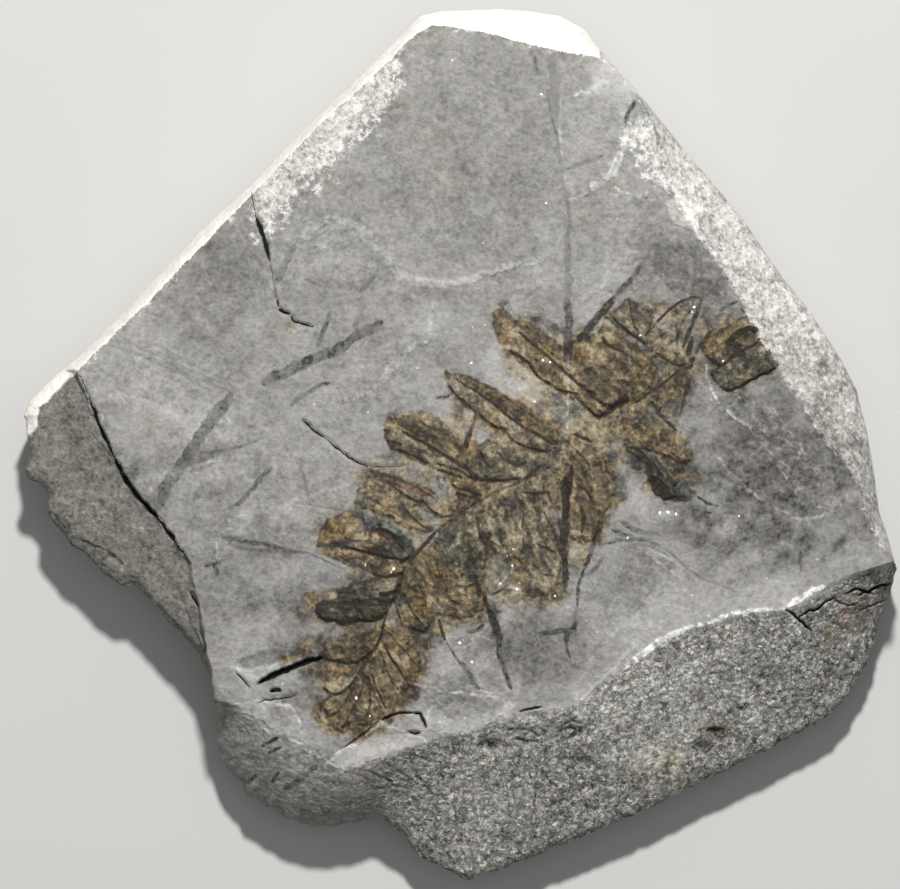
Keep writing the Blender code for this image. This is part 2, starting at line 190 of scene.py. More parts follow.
# The outline clockwise from the left, then the inner borders of the zones that slope to it.
outline = path("22,416 8,-16 25,-25 25,-20 40,-40 35,-37 45,-48 50,-45 50,-53 50,-47 45,-45 25,-25 20,-5 60,-2 "
               "30,2 30,5 25,13 15,20 25,27 25,30 40,50 30,35 25,30 30,45 35,45 30,45 18,35 10,40 7,40 5,40 10,30 "
               "8,32 -8,28 -10,20 -5,25 -7,20 -13,25 -20,25 -35,20 -40,20 -60,30 -50,25 -50,22 -50,20 -50,20 "
               "-35,11 -10,-8 -30,-13 -10,-7 -10,-15 -15,-13 -14,-9 -24,7 -40,4 -22,-7 -20,-10 -12,-9 -13,-6 "
               "-5,-12 -15,-15 -7,-15 -3,-20 0,-35 -5,-20 -10,-25 -15,-15 -15,-15 -20,-25 -18,-17 -12,2 -15,-10 "
               "-20,-20 -15,-10 -15,-20 -10,-13 2,-17 -7,-10 -12,-7 -4,-8 6,-14 -2,-16")
rindLine = path("77,371 33,-33 40,-38 52,-54 48,-49 42,-44 38,-38 36,-32 34,-33 16,-16 16,-9 23,2 25,5 20,4 20,6 "
                "25,6 23,4 32,5")
bevelLine = path("600,57 25,25 15,18 12,22 5,23 8,40 15,23 14,22 14,20 20,30 17,32 15,26 15,30 15,24 17,20 13,24 "
                 "14,16 15,18 11,28 8,22 12,25 13,17")
shelfLine = path("77,371 9,17 12,34 9,20 8,17 7,15 8,13 16,19 15,16 13,19 17,23 6,26 6,30 2,20 7,32 3,28")
crestLine = path("215,700 17,3 18,4 12,5 12,10 13,10 13,6 15,9 15,11 15,9 19,-5 18,-8 20,-5 23,-7 25,-8 30,-10 "
                 "32,-8 28,-6 32,-6 12,-6 14,-15 25,-19 27,-16 16,-15 27,-8 21,-3 19,-8 16,-5 38,0 18,-9 36,-22 "
                 "32,-12 20,-4")
# borders of the patch of bed that carries the frond
frondTop = path("262,712 -4,-32 -2,-30 12,-50 17,-40 5,-60 30,-45 50,-55 60,-55 50,-40 60,-15 60,-5 60,-5 50,8 "
                "35,24")
frondBottom = path("425,742 11,-27 16,-45 18,-30 40,-22 50,-12 40,-26 25,-40 35,-20 50,-15 20,-35 5,-40 15,-25 "
                   "40,-13")

# the old outside of the stone is worn smooth, the rest of the edge is broken
edge = roughen(outline, 0.5, 16, 3, closed=True)
ragged = roughen(outline, 2.2, 14, 4, closed=True)
edge = np.where((edge[:, 1] > 416 + 0.178 * (edge[:, 0] - 22))[:, None], ragged, edge)
rind = roughen(rindLine, 1.2, 20, 5)
bevel = roughen(bevelLine, 3.0, 26, 6)
shelf = roughen(shelfLine, 1.6, 12, 7)
crest = roughen(crestLine, 2.4, 16, 8)


def nearest(line, spot):
    return int(np.argmin(np.hypot(*(line - spot).T)))


def between(line, first, last):
    # the stretch of an open line from near one point to near another, either way round
    start, end = nearest(line, first), nearest(line, last)
    return line[start:end + 1] if start <= end else line[end:start + 1][::-1]


def alongEdge(first, last):
    # the stretch of the edge that runs clockwise from near one point to near another
    start, end = nearest(edge, first), nearest(edge, last)
    return edge[(start + np.arange((end - start) % len(edge) + 1)) % len(edge)]


def beyond(stretch):
    return middle + (stretch - middle) * 1.03


rindZone = np.concatenate([beyond(alongEdge((22, 416), (600, 48))), rind[::-1], path("35,412")])
bevelZone = np.concatenate([beyond(alongEdge((600, 48), (898, 572))), bevel[::-1]])
shelfZone = np.concatenate([beyond(alongEdge((215, 700), (60, 370))), shelf])
breakZone = np.concatenate([beyond(alongEdge((898, 572), (215, 700))), crest])
print("outline drawn")


# Heights of the top of the slab in millimetres; its two reaches are in plan units.
relief = {
    "bedding": 13.0, "beddingSwell": 0.12, "crestRise": 0.8, "crestReach": 60, "breakDrop": 6.2, "rindDrop": 3.4,
    "bevelDrop": 4.2, "shelfDrop": 0.9, "shelfSlope": 2.2, "shelfWear": 0.4, "shelfLumps": 0.05, "edgeRounding": 0.6,
    "edgeReach": 8, "wide": 0.06, "middling": 0.035, "fine": 0.028, "bruise": 0.07, "leafRise": 1.9,
    "filmRipple": 0.10, "filmVeins": 0.16, "paleLineShare": 0.8, "glint": 0.05,
}
# Scooped hollows: middle, half sizes, depth in millimetres.
hollows = [
    ((345, 262), (46, 26), 0.35), ((455, 708), (50, 20), 0.4), ((385, 742), (45, 17), 0.4),
    ((490, 745), (15, 8), 0.7), ((575, 731), (14, 8), 0.5), ((702, 749), (18, 8), 0.7), ((720, 732), (14, 7), 0.6),
    ((412, 733), (10, 4), 0.4), ((276, 691), (9, 4), 0.4), ((120, 470), (40, 60), 0.15), ((500, 434), (30, 10), 0.12),
]


# Carbon lines and painted shadow lines: strength, half width, groove (minus) or rise in millimetres, course.
carbonAndShadowLines = [
    (0.34, 0.9, -0.03, "114,340 24,6 20,15 22,4 26,16"), (0.36, 1.0, -0.03, "160,352 24,6 22,14 22,8"),
    (0.3, 0.9, -0.03, "126,352 24,6 22,14 18,4"), (0.4, 1.2, -0.03, "196,372 16,8 14,4 14,8"),
    (0.55, 2.2, -0.05, "535,57 1,9 1,9"), (0.3, 5.0, 0, "551,57 2,18 1,20 2,25"),
    (0.5, 1.4, -0.05, "547,90 2,15 3,15 5,15"), (0.3, 2.6, -0.04, "557,135 3,25 4,30"),
    (0.42, 2.6, -0.06, "564,190 4,16 2,19 -3,15"), (0.4, 4.0, -0.05, "567,235 1,35 0,30"),
    (0.6, 4.4, -0.06, "567,300 2,20 -1,20 -2,20"), (0.75, 1.4, -0.04, "570,340 2,12 -2,8"),
    (0.95, 4.2, -0.1, "567,476 -2,14 1,15 -1,15"), (0.75, 4.6, -0.08, "565,520 -1,20 1,20"),
    (0.85, 3.4, -0.08, "565,560 1,15 -1,13"), (0.85, 2.4, -0.06, "572,466 -1,14 -1,15"),
    (0.75, 2.4, -0.07, "599,522 -4,16 -3,11 -4,11 -4,10"), (0.8, 1.9, -0.07, "584,570 -4,10 -2,10 -1,15"),
    (0.45, 1.8, -0.03, "577,605 -2,13 -1,8"), (0.55, 2.6, -0.04, "603,557 -6,10 -7,6 -8,3"),
    (0.8, 3.0, -0.06, "540,634 10,-1 12,-2 13,-1"), (0.9, 2.8, -0.08, "576,624 -4,6 -5,4 -1,8"),
    (0.85, 2.0, -0.06, "566,642 1,8 3,7"), (0.65, 2.6, -0.06, "612,530 10,4 12,5 14,2"),
    (0.5, 3.4, -0.04, "622,522 12,8 14,4 10,0"), (0.45, 1.6, -0.05, "648,541 12,5 8,5 6,5"),
    (0.6, 1.8, -0.05, "606,544 12,-3 16,-1"), (0.4, 1.4, -0.05, "674,556 13,13 17,11 14,4 18,8"),
    (0.35, 1.6, -0.03, "640,545 15,3 13,8"), (0.65, 3.2, -0.07, "641,266 -9,12 -10,11 -8,9"),
    (0.9, 4.0, -0.08, "614,298 -10,13 -10,10 -8,11 -7,8"), (0.6, 3.4, -0.05, "531,319 9,0 12,6 11,7"),
    (0.75, 2.6, -0.05, "635,101 -5,9 -5,12"), (0.5, 2.4, -0.05, "565,170 12,-4 11,-5 14,-5"),
    (0.56, 6.5, 0.03, "231,394 -15,21 -15,19 -17,27 -16,23 -11,27"),
    (0.6, 6.0, 0.03, "264,382 16,-7 20,-10 19,-8 19,-8 16,-11"), (0.5, 2.0, -0.04, "262,384 16,-4 22,-10 20,-9"),
    (0.62, 5.0, 0.02, "350,340 10,-6 12,-6 9,-6"), (0.5, 3.2, 0, "358,319 -3,8 5,7"),
    (0.3, 4.0, 0, "266,386 24,0 20,-2"), (0.55, 2.6, -0.04, "291,405 9,-7 11,-7 11,-7 12,-1"),
    (0.55, 3.0, -0.03, "318,346 6,-16 6,-17"), (0.5, 2.6, -0.03, "360,292 7,-7 8,-10"),
    (0.3, 1.2, -0.02, "318,298 17,-2 17,-2 10,-4"), (0.6, 1.4, -0.04, "305,279 9,4 8,4"),
    (0.45, 4.0, -0.03, "277,283 5,-11 5,-12 8,-14"), (0.6, 3.0, -0.05, "270,470 -10,9 -12,15 -8,9 -11,5"),
    (0.55, 1.8, -0.04, "199,453 21,-2 20,-4 16,-6"), (0.45, 2.8, -0.03, "190,466 15,-8 20,-6"),
    (0.7, 3.0, -0.06, "222,537 18,4 18,2 18,4 15,4"), (0.6, 2.4, -0.05, "228,544 17,5 17,2 22,2"),
    (0.75, 1.7, -0.05, "284,553 16,-1 8,1"), (0.6, 1.0, -0.04, "308,553 14,6 12,6 11,5"),
    (0.45, 3.4, -0.03, "238,662 14,-5 16,-5 14,-1"), (0.85, 1.5, -0.07, "439,620 2,8 4,12"),
    (0.75, 1.4, -0.06, "447,643 8,13 8,11"), (0.65, 3.0, -0.06, "463,664 6,10 5,10 5,5"),
    (0.4, 1.1, -0.04, "478,689 12,2 13,6"), (0.95, 2.4, -0.08, "475,575 2,10 3,11"),
    (0.95, 2.4, -0.08, "484,596 3,10 3,8"), (0.95, 4.0, -0.08, "490,612 4,10 4,12 1,12"),
    (0.85, 1.4, -0.06, "499,646 -2,6 3,8"), (0.85, 2.6, -0.07, "500,658 4,10 3,10 4,10"),
    (0.8, 2.6, -0.06, "468,632 7,0 8,-7"), (0.85, 1.3, -0.05, "491,595 9,-4 6,-5"),
    (0.65, 2.0, -0.05, "800,552 0,10 1,9"), (0.75, 1.8, -0.04, "436,398 8,-1 8,-3"),
    (0.3, 1.4, -0.03, "390,402 12,-4 12,1 14,2"), (0.95, 3.0, -0.06, "466,448 1,-8 3,-7"),
    (0.55, 2.4, -0.04, "470,433 4,-11 3,-10"), (0.95, 2.0, -0.07, "262,746 8,-4 8,-4"),
    (0.75, 2.4, -0.06, "246,784 6,-4 5,-4"), (0.7, 2.0, -0.06, "272,783 3,-5 3,-5"),
    (0.55, 3.6, -0.05, "284,790 11,-7 11,-9 11,-8"), (0.75, 1.6, -0.06, "268,754 7,-4 6,-3"),
    (0.4, 1.0, -0.03, "120,335 20,14 20,7 22,16 18,8 32,12"),
    (0.38, 1.0, -0.03, "112,346 22,6 26,14 18,6 18,12 30,14"), (0.36, 0.9, -0.03, "140,342 20,4 25,16 20,8 30,18"),
    (0.5, 1.1, -0.06, "296,503 24,3 25,5 17,3 16,5"), (0.35, 1.4, -0.04, "303,470 3,20 4,13"),
    (0.8, 1.1, -0.08, "46,508 6,6 7,6 6,9 6,8"), (0.85, 1.1, -0.08, "71,537 13,4 11,5 12,5 15,13"),
    (0.5, 1.0, -0.05, "112,551 10,15 12,12"), (0.5, 1.4, -0.05, "92,433 12,15 14,14"),
    (0.75, 1.6, -0.06, "205,566 7,-2 9,-1"), (0.85, 2.4, -0.08, "214,567 3,4 -1,5"),
    (0.95, 2.2, -0.08, "400,563 12,-5 8,-8 8,-9 6,-7 6,-6"), (0.65, 1.2, -0.04, "441,527 7,-5 8,-5"),
    (0.85, 1.1, -0.06, "388,482 12,10 12,7 12,5 10,8 8,5 14,-2 14,-8 10,-7"),
    (0.5, 1.1, -0.04, "480,501 15,-9 15,-6 16,-6 19,-13"), (0.85, 1.1, -0.06, "525,478 7,-6 8,-5 6,-2"),
    (0.8, 1.3, -0.06, "404,567 -2,13 -6,14 -5,9 -4,9 -3,10"), (0.8, 1.4, -0.06, "384,622 -3,16 -7,12 -8,12 -8,12"),
    (0.85, 1.3, -0.06, "358,674 -6,10 -8,7 -8,4"), (0.8, 1.2, -0.06, "324,688 5,5 8,2"),
    (0.8, 1.2, -0.06, "324,660 12,1 12,3 10,-2 8,-5 8,-9"), (0.45, 1.0, -0.04, "334,654 16,-4 14,-6 14,-8"),
    (0.9, 1.6, -0.06, "320,605 12,-2 14,1 16,1 16,0 10,-1"),
    (0.92, 1.5, -0.06, "318,615 7,5 9,0 7,3 9,-2 12,-1 10,1 8,-3"), (0.7, 1.1, -0.05, "338,608 6,5 4,6"),
    (0.7, 1.1, -0.05, "354,607 6,5 6,7"), (0.55, 1.0, -0.04, "346,597 8,3 8,3"),
    (0.55, 1.0, -0.04, "370,596 6,4 8,3"), (0.92, 2.4, -0.06, "380,594 8,0 8,-2 4,-4"),
    (0.85, 1.3, -0.05, "374,575 8,2 10,-1 10,-3"), (0.7, 1.0, -0.05, "338,556 12,6 12,6 13,7"),
    (0.9, 1.6, -0.06, "344,546 12,4 14,3 16,4 16,3"), (0.6, 1.0, -0.04, "330,545 20,-4 16,0 16,7 14,8"),
    (0.92, 1.5, -0.06, "372,531 8,-2 10,3 6,8 8,10"), (0.9, 2.6, -0.04, "378,524 3,1"),
    (0.6, 1.0, -0.04, "364,528 12,3 14,9"), (0.85, 1.2, -0.06, "404,508 4,6 6,5 8,7 9,4"),
    (0.45, 1.0, -0.04, "366,497 14,7 16,10 16,9"), (0.5, 1.2, -0.04, "372,471 14,5 16,5 16,7 16,10"),
    (0.75, 1.4, -0.05, "416,486 8,6 8,4"), (0.8, 1.6, -0.05, "438,470 12,4 12,4"),
    (0.92, 1.3, -0.06, "462,489 8,2 8,5"), (0.8, 1.2, -0.05, "452,485 8,4 8,2"), (0.95, 2.6, -0.05, "457,493 2,4"),
    (0.85, 1.4, -0.06, "387,441 9,1 6,3"), (0.85, 1.4, -0.06, "398,450 12,4 10,5 8,4"),
    (0.85, 1.2, -0.06, "402,431 10,6 10,5"), (0.85, 1.4, -0.06, "420,440 14,9 14,8 12,8"),
    (0.95, 1.9, -0.07, "446,456 12,8 12,8 10,7 12,2"), (0.9, 1.8, -0.06, "490,481 16,-1 14,-2"),
    (0.7, 1.2, -0.05, "436,463 14,4 14,6 12,8"), (0.7, 1.0, -0.05, "398,424 12,6 10,7"),
    (0.75, 1.0, -0.05, "420,421 10,7 12,3"), (0.8, 1.1, -0.05, "480,450 4,10 6,8"),
    (0.75, 1.8, -0.05, "508,462 10,4 8,-4"), (0.6, 1.2, -0.04, "496,450 6,8 10,4"),
    (0.9, 1.1, -0.06, "455,378 10,7 11,6 14,10"), (0.95, 1.5, -0.07, "488,399 10,8 10,9 10,8 10,6"),
    (0.9, 1.3, -0.06, "528,430 12,6 12,8 6,0"), (0.85, 1.1, -0.06, "449,386 7,9 6,6"),
    (0.9, 1.8, -0.05, "461,399 3,2"), (0.75, 1.1, -0.06, "464,402 12,10 10,8 10,7 12,3"),
    (0.85, 1.3, -0.06, "508,436 8,6 12,6 18,3"), (0.55, 1.0, -0.04, "464,374 16,9 16,7"),
    (0.5, 1.0, -0.04, "500,393 12,9 16,11 17,12"), (0.92, 1.5, -0.07, "519,332 9,8 12,10 12,10 12,11"),
    (0.95, 1.7, -0.07, "564,371 10,9 10,8 10,9 12,9"), (0.92, 1.9, -0.07, "510,351 10,6 10,7 8,13"),
    (0.85, 1.3, -0.06, "538,377 12,7 12,7 16,3"), (0.75, 1.2, -0.05, "574,396 10,8 10,11 6,4"),
    (0.92, 1.8, -0.07, "602,337 4,7 8,4 10,4"), (0.95, 3.4, -0.07, "608,408 10,-4 9,-6"),
    (0.9, 1.6, -0.06, "598,418 8,-4 10,-6 12,-6"), (0.85, 1.4, -0.07, "610,315 10,10 10,8 10,7 7,7"),
    (0.6, 1.0, -0.05, "629,298 2,14 3,14 5,8"), (0.7, 1.2, -0.05, "645,336 10,-12 13,-13 12,-9 12,-5 8,1"),
    (0.9, 2.4, -0.06, "702,300 -5,12 -5,13 -6,15 -3,7"), (0.85, 3.0, -0.06, "692,338 -2,8 -2,10"),
    (0.8, 2.2, -0.06, "713,330 -7,8 -6,8 -4,7"), (0.92, 1.3, -0.06, "656,353 7,5 8,5 9,3 8,-2"),
    (1.0, 2.8, -0.06, "690,360 4,-1"), (0.95, 2.0, -0.05, "688,368 4,-2"),
    (0.75, 1.3, -0.06, "684,368 -12,8 -10,8"), (0.85, 2.2, -0.06, "662,384 -8,6 -6,4"),
    (0.7, 1.4, -0.05, "648,394 -8,6 -8,4"), (0.7, 1.2, -0.05, "675,325 3,9 -1,10"),
    (0.92, 3.4, -0.07, "727,344 7,-7 8,-5 8,-4 7,3"), (0.8, 1.6, -0.05, "720,311 7,-5 11,-5"),
    (0.7, 1.2, -0.05, "710,359 6,4 6,3 10,-8 12,-8 13,-6"), (0.85, 1.2, -0.06, "741,386 11,-6 12,-6 13,-7"),
    (0.65, 1.2, -0.05, "722,390 10,1 9,-5"), (0.7, 1.2, -0.05, "744,313 -4,-7"),
    (0.6, 2.2, -0.05, "690,380 -4,12 -3,12 -2,9"), (0.9, 2.0, -0.06, "652,402 6,10 8,9 10,9"),
    (0.8, 2.0, -0.06, "656,414 5,-6"), (0.95, 1.3, -0.06, "628,447 9,2 8,7 5,6"),
    (0.7, 1.0, -0.05, "640,448 12,3 12,4 12,5 12,6"), (0.95, 5.0, -0.08, "652,478 7,8 8,8"),
    (0.95, 3.2, -0.08, "664,496 12,3 14,0"), (0.75, 1.6, -0.06, "698,497 10,7 10,2"),
    (0.85, 1.2, -0.05, "703,512 8,1"), (0.9, 1.8, -0.05, "632,467 8,2"), (0.55, 1.2, -0.04, "566,440 8,8 8,8 8,10"),
    (0.85, 1.6, -0.05, "574,434 10,4 8,4"), (0.6, 1.0, -0.04, "476,516 4,14 8,10 12,7"),
    (0.6, 2.6, -0.05, "468,540 3,10 -2,10"), (0.7, 1.8, -0.05, "478,526 2,10 6,10"),
    (0.8, 1.3, -0.05, "523,538 1,10 -3,6"), (0.6, 1.2, -0.05, "534,565 8,9 12,2"),
    (0.55, 1.0, -0.04, "544,512 8,16 6,14 2,14"), (0.75, 1.4, -0.05, "538,544 8,5 8,3"),
    (0.7, 1.6, -0.05, "456,586 10,1 10,-3"), (0.6, 1.4, -0.05, "446,596 6,5 7,3"),
    (0.55, 1.0, -0.04, "414,566 10,14 4,10 -2,10"), (0.6, 1.1, -0.05, "418,584 6,10 2,12 -8,0"),
    (0.55, 1.0, -0.05, "404,590 4,14 6,10 10,12"), (0.85, 1.6, -0.05, "408,628 8,2 8,2"),
    (0.65, 1.1, -0.05, "394,600 4,12 4,14"), (0.6, 1.0, -0.05, "388,632 10,12 10,10 7,10"),
    (0.75, 1.3, -0.06, "384,644 6,12 8,12 8,12 4,8"), (0.6, 1.1, -0.05, "380,652 6,16 6,14 8,10"),
    (0.7, 1.2, -0.06, "372,674 4,14 6,12 4,8"), (0.6, 1.1, -0.05, "368,676 2,14 0,16 -4,14"),
    (0.55, 1.1, -0.05, "364,680 -4,16 -8,14 -6,12"), (0.6, 1.1, -0.05, "356,684 -8,14 -10,14 -8,6"),
    (0.92, 2.2, -0.06, "342,728 4,-3 4,-3"), (0.85, 1.6, -0.06, "358,724 6,2 4,-3"),
    (0.85, 1.6, -0.06, "324,708 4,8 6,-2"), (0.6, 1.1, -0.05, "330,696 -6,6 -4,8"),
    (0.5, 1.0, -0.05, "440,556 8,12 8,8"), (0.5, 1.0, -0.05, "436,560 4,16 8,14"),
    (0.7, 1.6, -0.05, "524,492 10,2 14,-2 4,12"), (0.55, 1.0, -0.04, "522,500 2,14 -2,14"),
    (0.7, 2.2, -0.05, "582,508 2,12 -2,12"), (0.6, 1.6, -0.05, "578,486 8,4 6,10"),
    (0.6, 1.6, -0.05, "574,540 8,-4 4,6"), (0.8, 1.4, -0.08, "487,741 5,4 5,2"), (0.9, 4.0, -0.1, "490,745 4,2"),
    (0.75, 1.6, -0.08, "508,730 12,-2 12,3 8,5"), (0.7, 1.4, -0.07, "515,738 13,3 10,0"),
    (0.8, 1.4, -0.08, "564,724 8,-4 9,4"), (0.8, 1.2, -0.08, "561,731 9,-4 10,5"),
    (0.85, 2.6, -0.09, "568,738 7,-4 7,-4"), (0.85, 1.6, -0.09, "692,748 8,4 8,-2"),
    (0.8, 1.4, -0.09, "696,755 10,-1 8,-7"), (0.75, 3.2, -0.08, "708,732 8,-2 8,3"),
    (0.85, 1.8, -0.08, "716,736 6,3 6,-3"), (0.75, 3.0, -0.08, "738,706 6,4 4,-6"),
    (0.7, 1.4, -0.06, "765,704 7,4 8,0"), (0.7, 1.6, -0.06, "368,770 12,6 12,6"),
    (0.6, 1.6, -0.06, "385,762 15,10 12,8"), (0.55, 1.4, -0.06, "402,754 16,2 14,6"),
    (0.5, 1.4, -0.06, "375,790 17,-4 20,4"), (0.6, 1.6, -0.06, "416,776 10,8 -6,8"),
    (0.55, 1.2, -0.05, "345,772 17,4 14,8"), (0.6, 1.2, -0.06, "530,776 6,16 -2,14"),
    (0.6, 1.4, -0.06, "540,764 8,16 10,8"), (0.55, 1.2, -0.06, "448,820 10,4 12,-2"),
]
# Pale bruises along steps and breaks, and painted highlights along lit crests, ledges and leaf ribs: strength, half
# width, rise in millimetres, course.
bruiseAndHighlightLines = [
    (0.45, 1.1, 0.04, "118,334 22,10 22,7 24,15 24,7"), (0.4, 1.0, 0.04, "110,352 26,6 22,13 26,7 20,10"),
    (0.35, 1.0, 0.04, "150,346 22,10 24,8 24,16"), (0.4, 1.2, 0.04, "128,366 22,6 22,12 28,8"),
    (0.36, 6.5, 0.1, "300,240 10,-10 20,-7 18,3 18,10 14,14"), (0.4, 5.0, 0.12, "380,250 12,15 10,15 23,4 25,0"),
    (0.4, 4.5, 0.1, "450,284 25,-6 25,-10 30,-6 18,-6"), (0.45, 4.0, 0.14, "436,300 -4,15 -4,25 -13,7 -10,5"),
    (0.45, 5.0, 0.12, "405,352 -10,13 -10,13 -15,10 -25,12"), (0.6, 3.4, 0.1, "570,97 15,-5 15,-6 16,-4"),
    (0.7, 4.6, 0.14, "632,132 -8,13 -10,27 -14,10 -20,14"), (0.55, 4.0, 0.12, "634,134 16,12 8,19 -2,21 -12,10"),
    (0.7, 3.0, 0.12, "658,178 10,14 16,6 16,28"), (0.6, 4.6, 0.1, "665,205 15,17 14,4 10,16 12,12"),
    (0.75, 2.4, 0.12, "706,365 2,13 4,14 8,13 10,9"), (0.7, 2.0, 0.1, "712,392 10,18 16,10 14,8"),
    (0.5, 1.4, 0.05, "752,428 16,8 17,4 10,10"), (0.45, 1.4, 0.05, "750,430 14,16 16,16 20,10"),
    (0.4, 1.4, 0.05, "762,452 16,14 12,18 10,16"), (0.45, 1.6, 0.05, "770,404 18,26 16,22 14,18"),
    (0.35, 1.4, 0.04, "780,490 20,12 20,6 10,-10"), (0.8, 2.2, 0.16, "568,362 1,18 -2,20 1,20 -2,20"),
    (0.65, 3.2, 0.1, "566,440 -4,15 -6,13"), (1.0, 4.2, 0.06, "624,668 16,-12 15,-11 17,-11 18,-7"),
    (0.95, 3.0, 0.06, "688,627 24,-6 21,-8 19,-3 33,-1"), (0.95, 4.0, 0.06, "788,606 12,-7 12,-9 12,-4"),
    (0.55, 1.6, 0.06, "582,700 10,-10 14,-14 16,-14 12,-22"), (0.4, 4.0, 0.05, "600,678 25,-23 15,-15 12,-18"),
    (0.75, 1.6, 0.08, "498,586 6,-6 6,-7 7,-7"), (0.8, 1.8, 0.08, "508,588 6,0 6,2"),
    (0.45, 2.0, 0.05, "680,566 -16,-10 -16,-8"), (0.4, 1.8, 0.05, "684,580 -16,-10 -18,-14 -14,-10"),
    (0.5, 1.6, 0.05, "218,535 8,-5 14,-2 12,-6"), (0.55, 1.6, 0.05, "216,542 2,12 -4,8"),
    (0.4, 1.4, 0.04, "160,400 6,8 8,6 16,6"), (0.55, 2.2, 0.08, "185,468 15,-2 16,-6 24,-2"),
    (0.45, 1.2, 0.04, "60,500 20,10 20,10"), (0.45, 1.2, 0.04, "92,504 18,10 18,12 22,4"),
    (0.55, 1.6, 0.05, "277,671 13,-7 16,-7 16,-3"), (0.5, 2.6, 0.06, "262,716 6,6 4,6"),
    (0.65, 2.0, 0.08, "240,712 14,2 8,12 8,8"), (0.6, 2.0, 0.08, "280,735 10,5 12,4"),
    (0.6, 2.0, 0.08, "296,742 14,10 16,8 12,8"), (0.55, 2.0, 0.08, "338,768 18,0 16,-8 12,-6"),
    (0.5, 2.0, 0.06, "384,754 12,-10 6,-8 -4,-12 -14,0"), (0.55, 2.2, 0.06, "426,728 16,6 20,0 24,-10"),
    (0.65, 2.2, 0.06, "486,724 14,-8 6,-12 -8,-10 -18,-4"), (0.5, 1.6, 0.06, "508,714 16,-2 21,-4 15,-2"),
    (0.45, 1.8, 0.05, "412,684 12,4 12,12 10,8"), (0.4, 1.6, 0.04, "640,724 10,-6 10,4 4,10 -8,8"),
    (0.4, 1.8, 0.04, "600,735 4,20 -4,20"), (0.35, 1.2, 0.03, "634,736 6,16 -2,16"),
    (0.6, 1.6, 0.1, "624,338 4,14 1,14 -2,14"), (0.45, 1.2, 0.08, "611,350 2,12 -1,10"),
    (0.4, 1.4, 0.08, "590,352 4,14 6,10"), (0.55, 1.2, 0.1, "644,372 8,-5 8,5 4,8"),
    (0.5, 1.2, 0.08, "652,366 8,-6 8,-2"), (0.6, 1.4, 0.08, "516,334 2,8 4,6"),
    (0.55, 1.4, 0.08, "560,340 4,10 -2,10"), (0.65, 1.6, 0.08, "655,462 7,10 8,10"),
    (0.5, 1.2, 0.08, "638,446 10,8 8,10"), (0.55, 1.4, 0.08, "630,418 8,4 6,7"),
    (0.55, 1.4, 0.08, "668,442 10,7 10,11"), (0.55, 1.0, 0.08, "762,327 6,11 7,14"),
    (0.5, 1.4, 0.1, "345,608 13,-2 14,1 12,-1"), (0.45, 1.2, 0.08, "338,684 10,-4 8,-4"),
    (0.6, 2.4, 0.06, "336,690 10,-6 8,-4"), (0.45, 1.2, 0.06, "320,548 16,2 14,6 12,6"),
    (0.4, 1.4, 0.06, "440,456 12,6 12,8 12,7"), (0.35, 1.6, 0.04, "240,530 22,-6 20,-16 18,-10"),
    (0.35, 2.0, 0.04, "300,498 16,-6 20,-2 16,-6"), (0.45, 1.6, 0.06, "688,366 -14,8 -14,10 -14,12"),
    (0.5, 1.7, 0.03, "622,340 5,12 4,12 -3,14 6,20"), (0.5, 2.0, 0.03, "566,378 2,16 -1,18 -1,18"),
    (0.45, 1.4, 0.03, "611,348 2,10 -1,8"), (0.45, 1.6, 0.03, "624,416 10,4 8,6"),
    (0.4, 1.3, 0.03, "640,446 12,10 8,12 6,12"), (0.4, 1.3, 0.03, "664,446 12,8 12,8"),
    (0.45, 1.4, 0.04, "364,674 8,-19 12,-17 8,-20 7,-20 3,-16"), (0.4, 1.3, 0.03, "374,648 7,25 2,27"),
    (0.4, 1.3, 0.03, "340,690 11,-6 9,-8"), (0.4, 1.3, 0.03, "350,712 7,-12 7,-10"),
    (0.4, 1.2, 0.03, "394,636 8,16 8,16"), (0.4, 1.4, 0.03, "560,446 -10,6 -10,8 -12,10"),
    (0.8, 2.0, 0.05, "640,128 8,12 9,16 6,20 5,16 16,12 6,10 4,12 6,12 12,12 15,22 11,20 10,22"),
    (0.65, 1.6, 0.04, "748,314 9,16 11,16 10,20 12,18 16,20 16,26 14,18 14,20 12,28 10,28 12,24"),
    (0.55, 3.0, 0.06, "388,258 10,12 20,9 28,4 30,-5 24,-8 16,-4"),
]


def lineLayer(points, entries, seed, core):
    # strongest of all lines and the sum of their grooves: full in the core share of the half width (a larger
    # share of wide lines), fading to nothing past it, tapering at both ends, width and strength broken by noise
    layer, carved = np.zeros(len(points)), np.zeros(len(points))
    for strength, halfWidth, depth, course in entries:
        ragged = roughen(path(course), 0.5 + 0.14 * halfWidth, 7, seed, step=2)
        away, along, _ = toLine(points, ragged, halfWidth * 2 + 3)
        near = away < halfWidth * 2 + 2.9
        spot, share = points[near], along[near]
        gap = away[near] + (0.3 + 0.12 * halfWidth) * fractal(spot, 4.2, 2, seed + 1)
        taper = np.sqrt(np.clip(np.minimum(share, 1 - share) * 6, 0, 1))
        wide = halfWidth * (0.5 + 0.5 * taper) * (1 + 0.3 * noise(spot, 9, seed))
        full = core + (0.85 - core) * smooth(halfWidth, 1.5, 6)
        mark = 1 - smooth(gap, wide * full, wide + 0.8)
        worn = np.clip(0.86 + 0.40 * fractal(spot, 10, 3, seed + 2), 0.2, 1.1)
        layer[near] = np.maximum(layer[near], strength * mark * worn)
        carved[near] += depth * mark * worn
    return np.clip(layer, 0, 1), carved


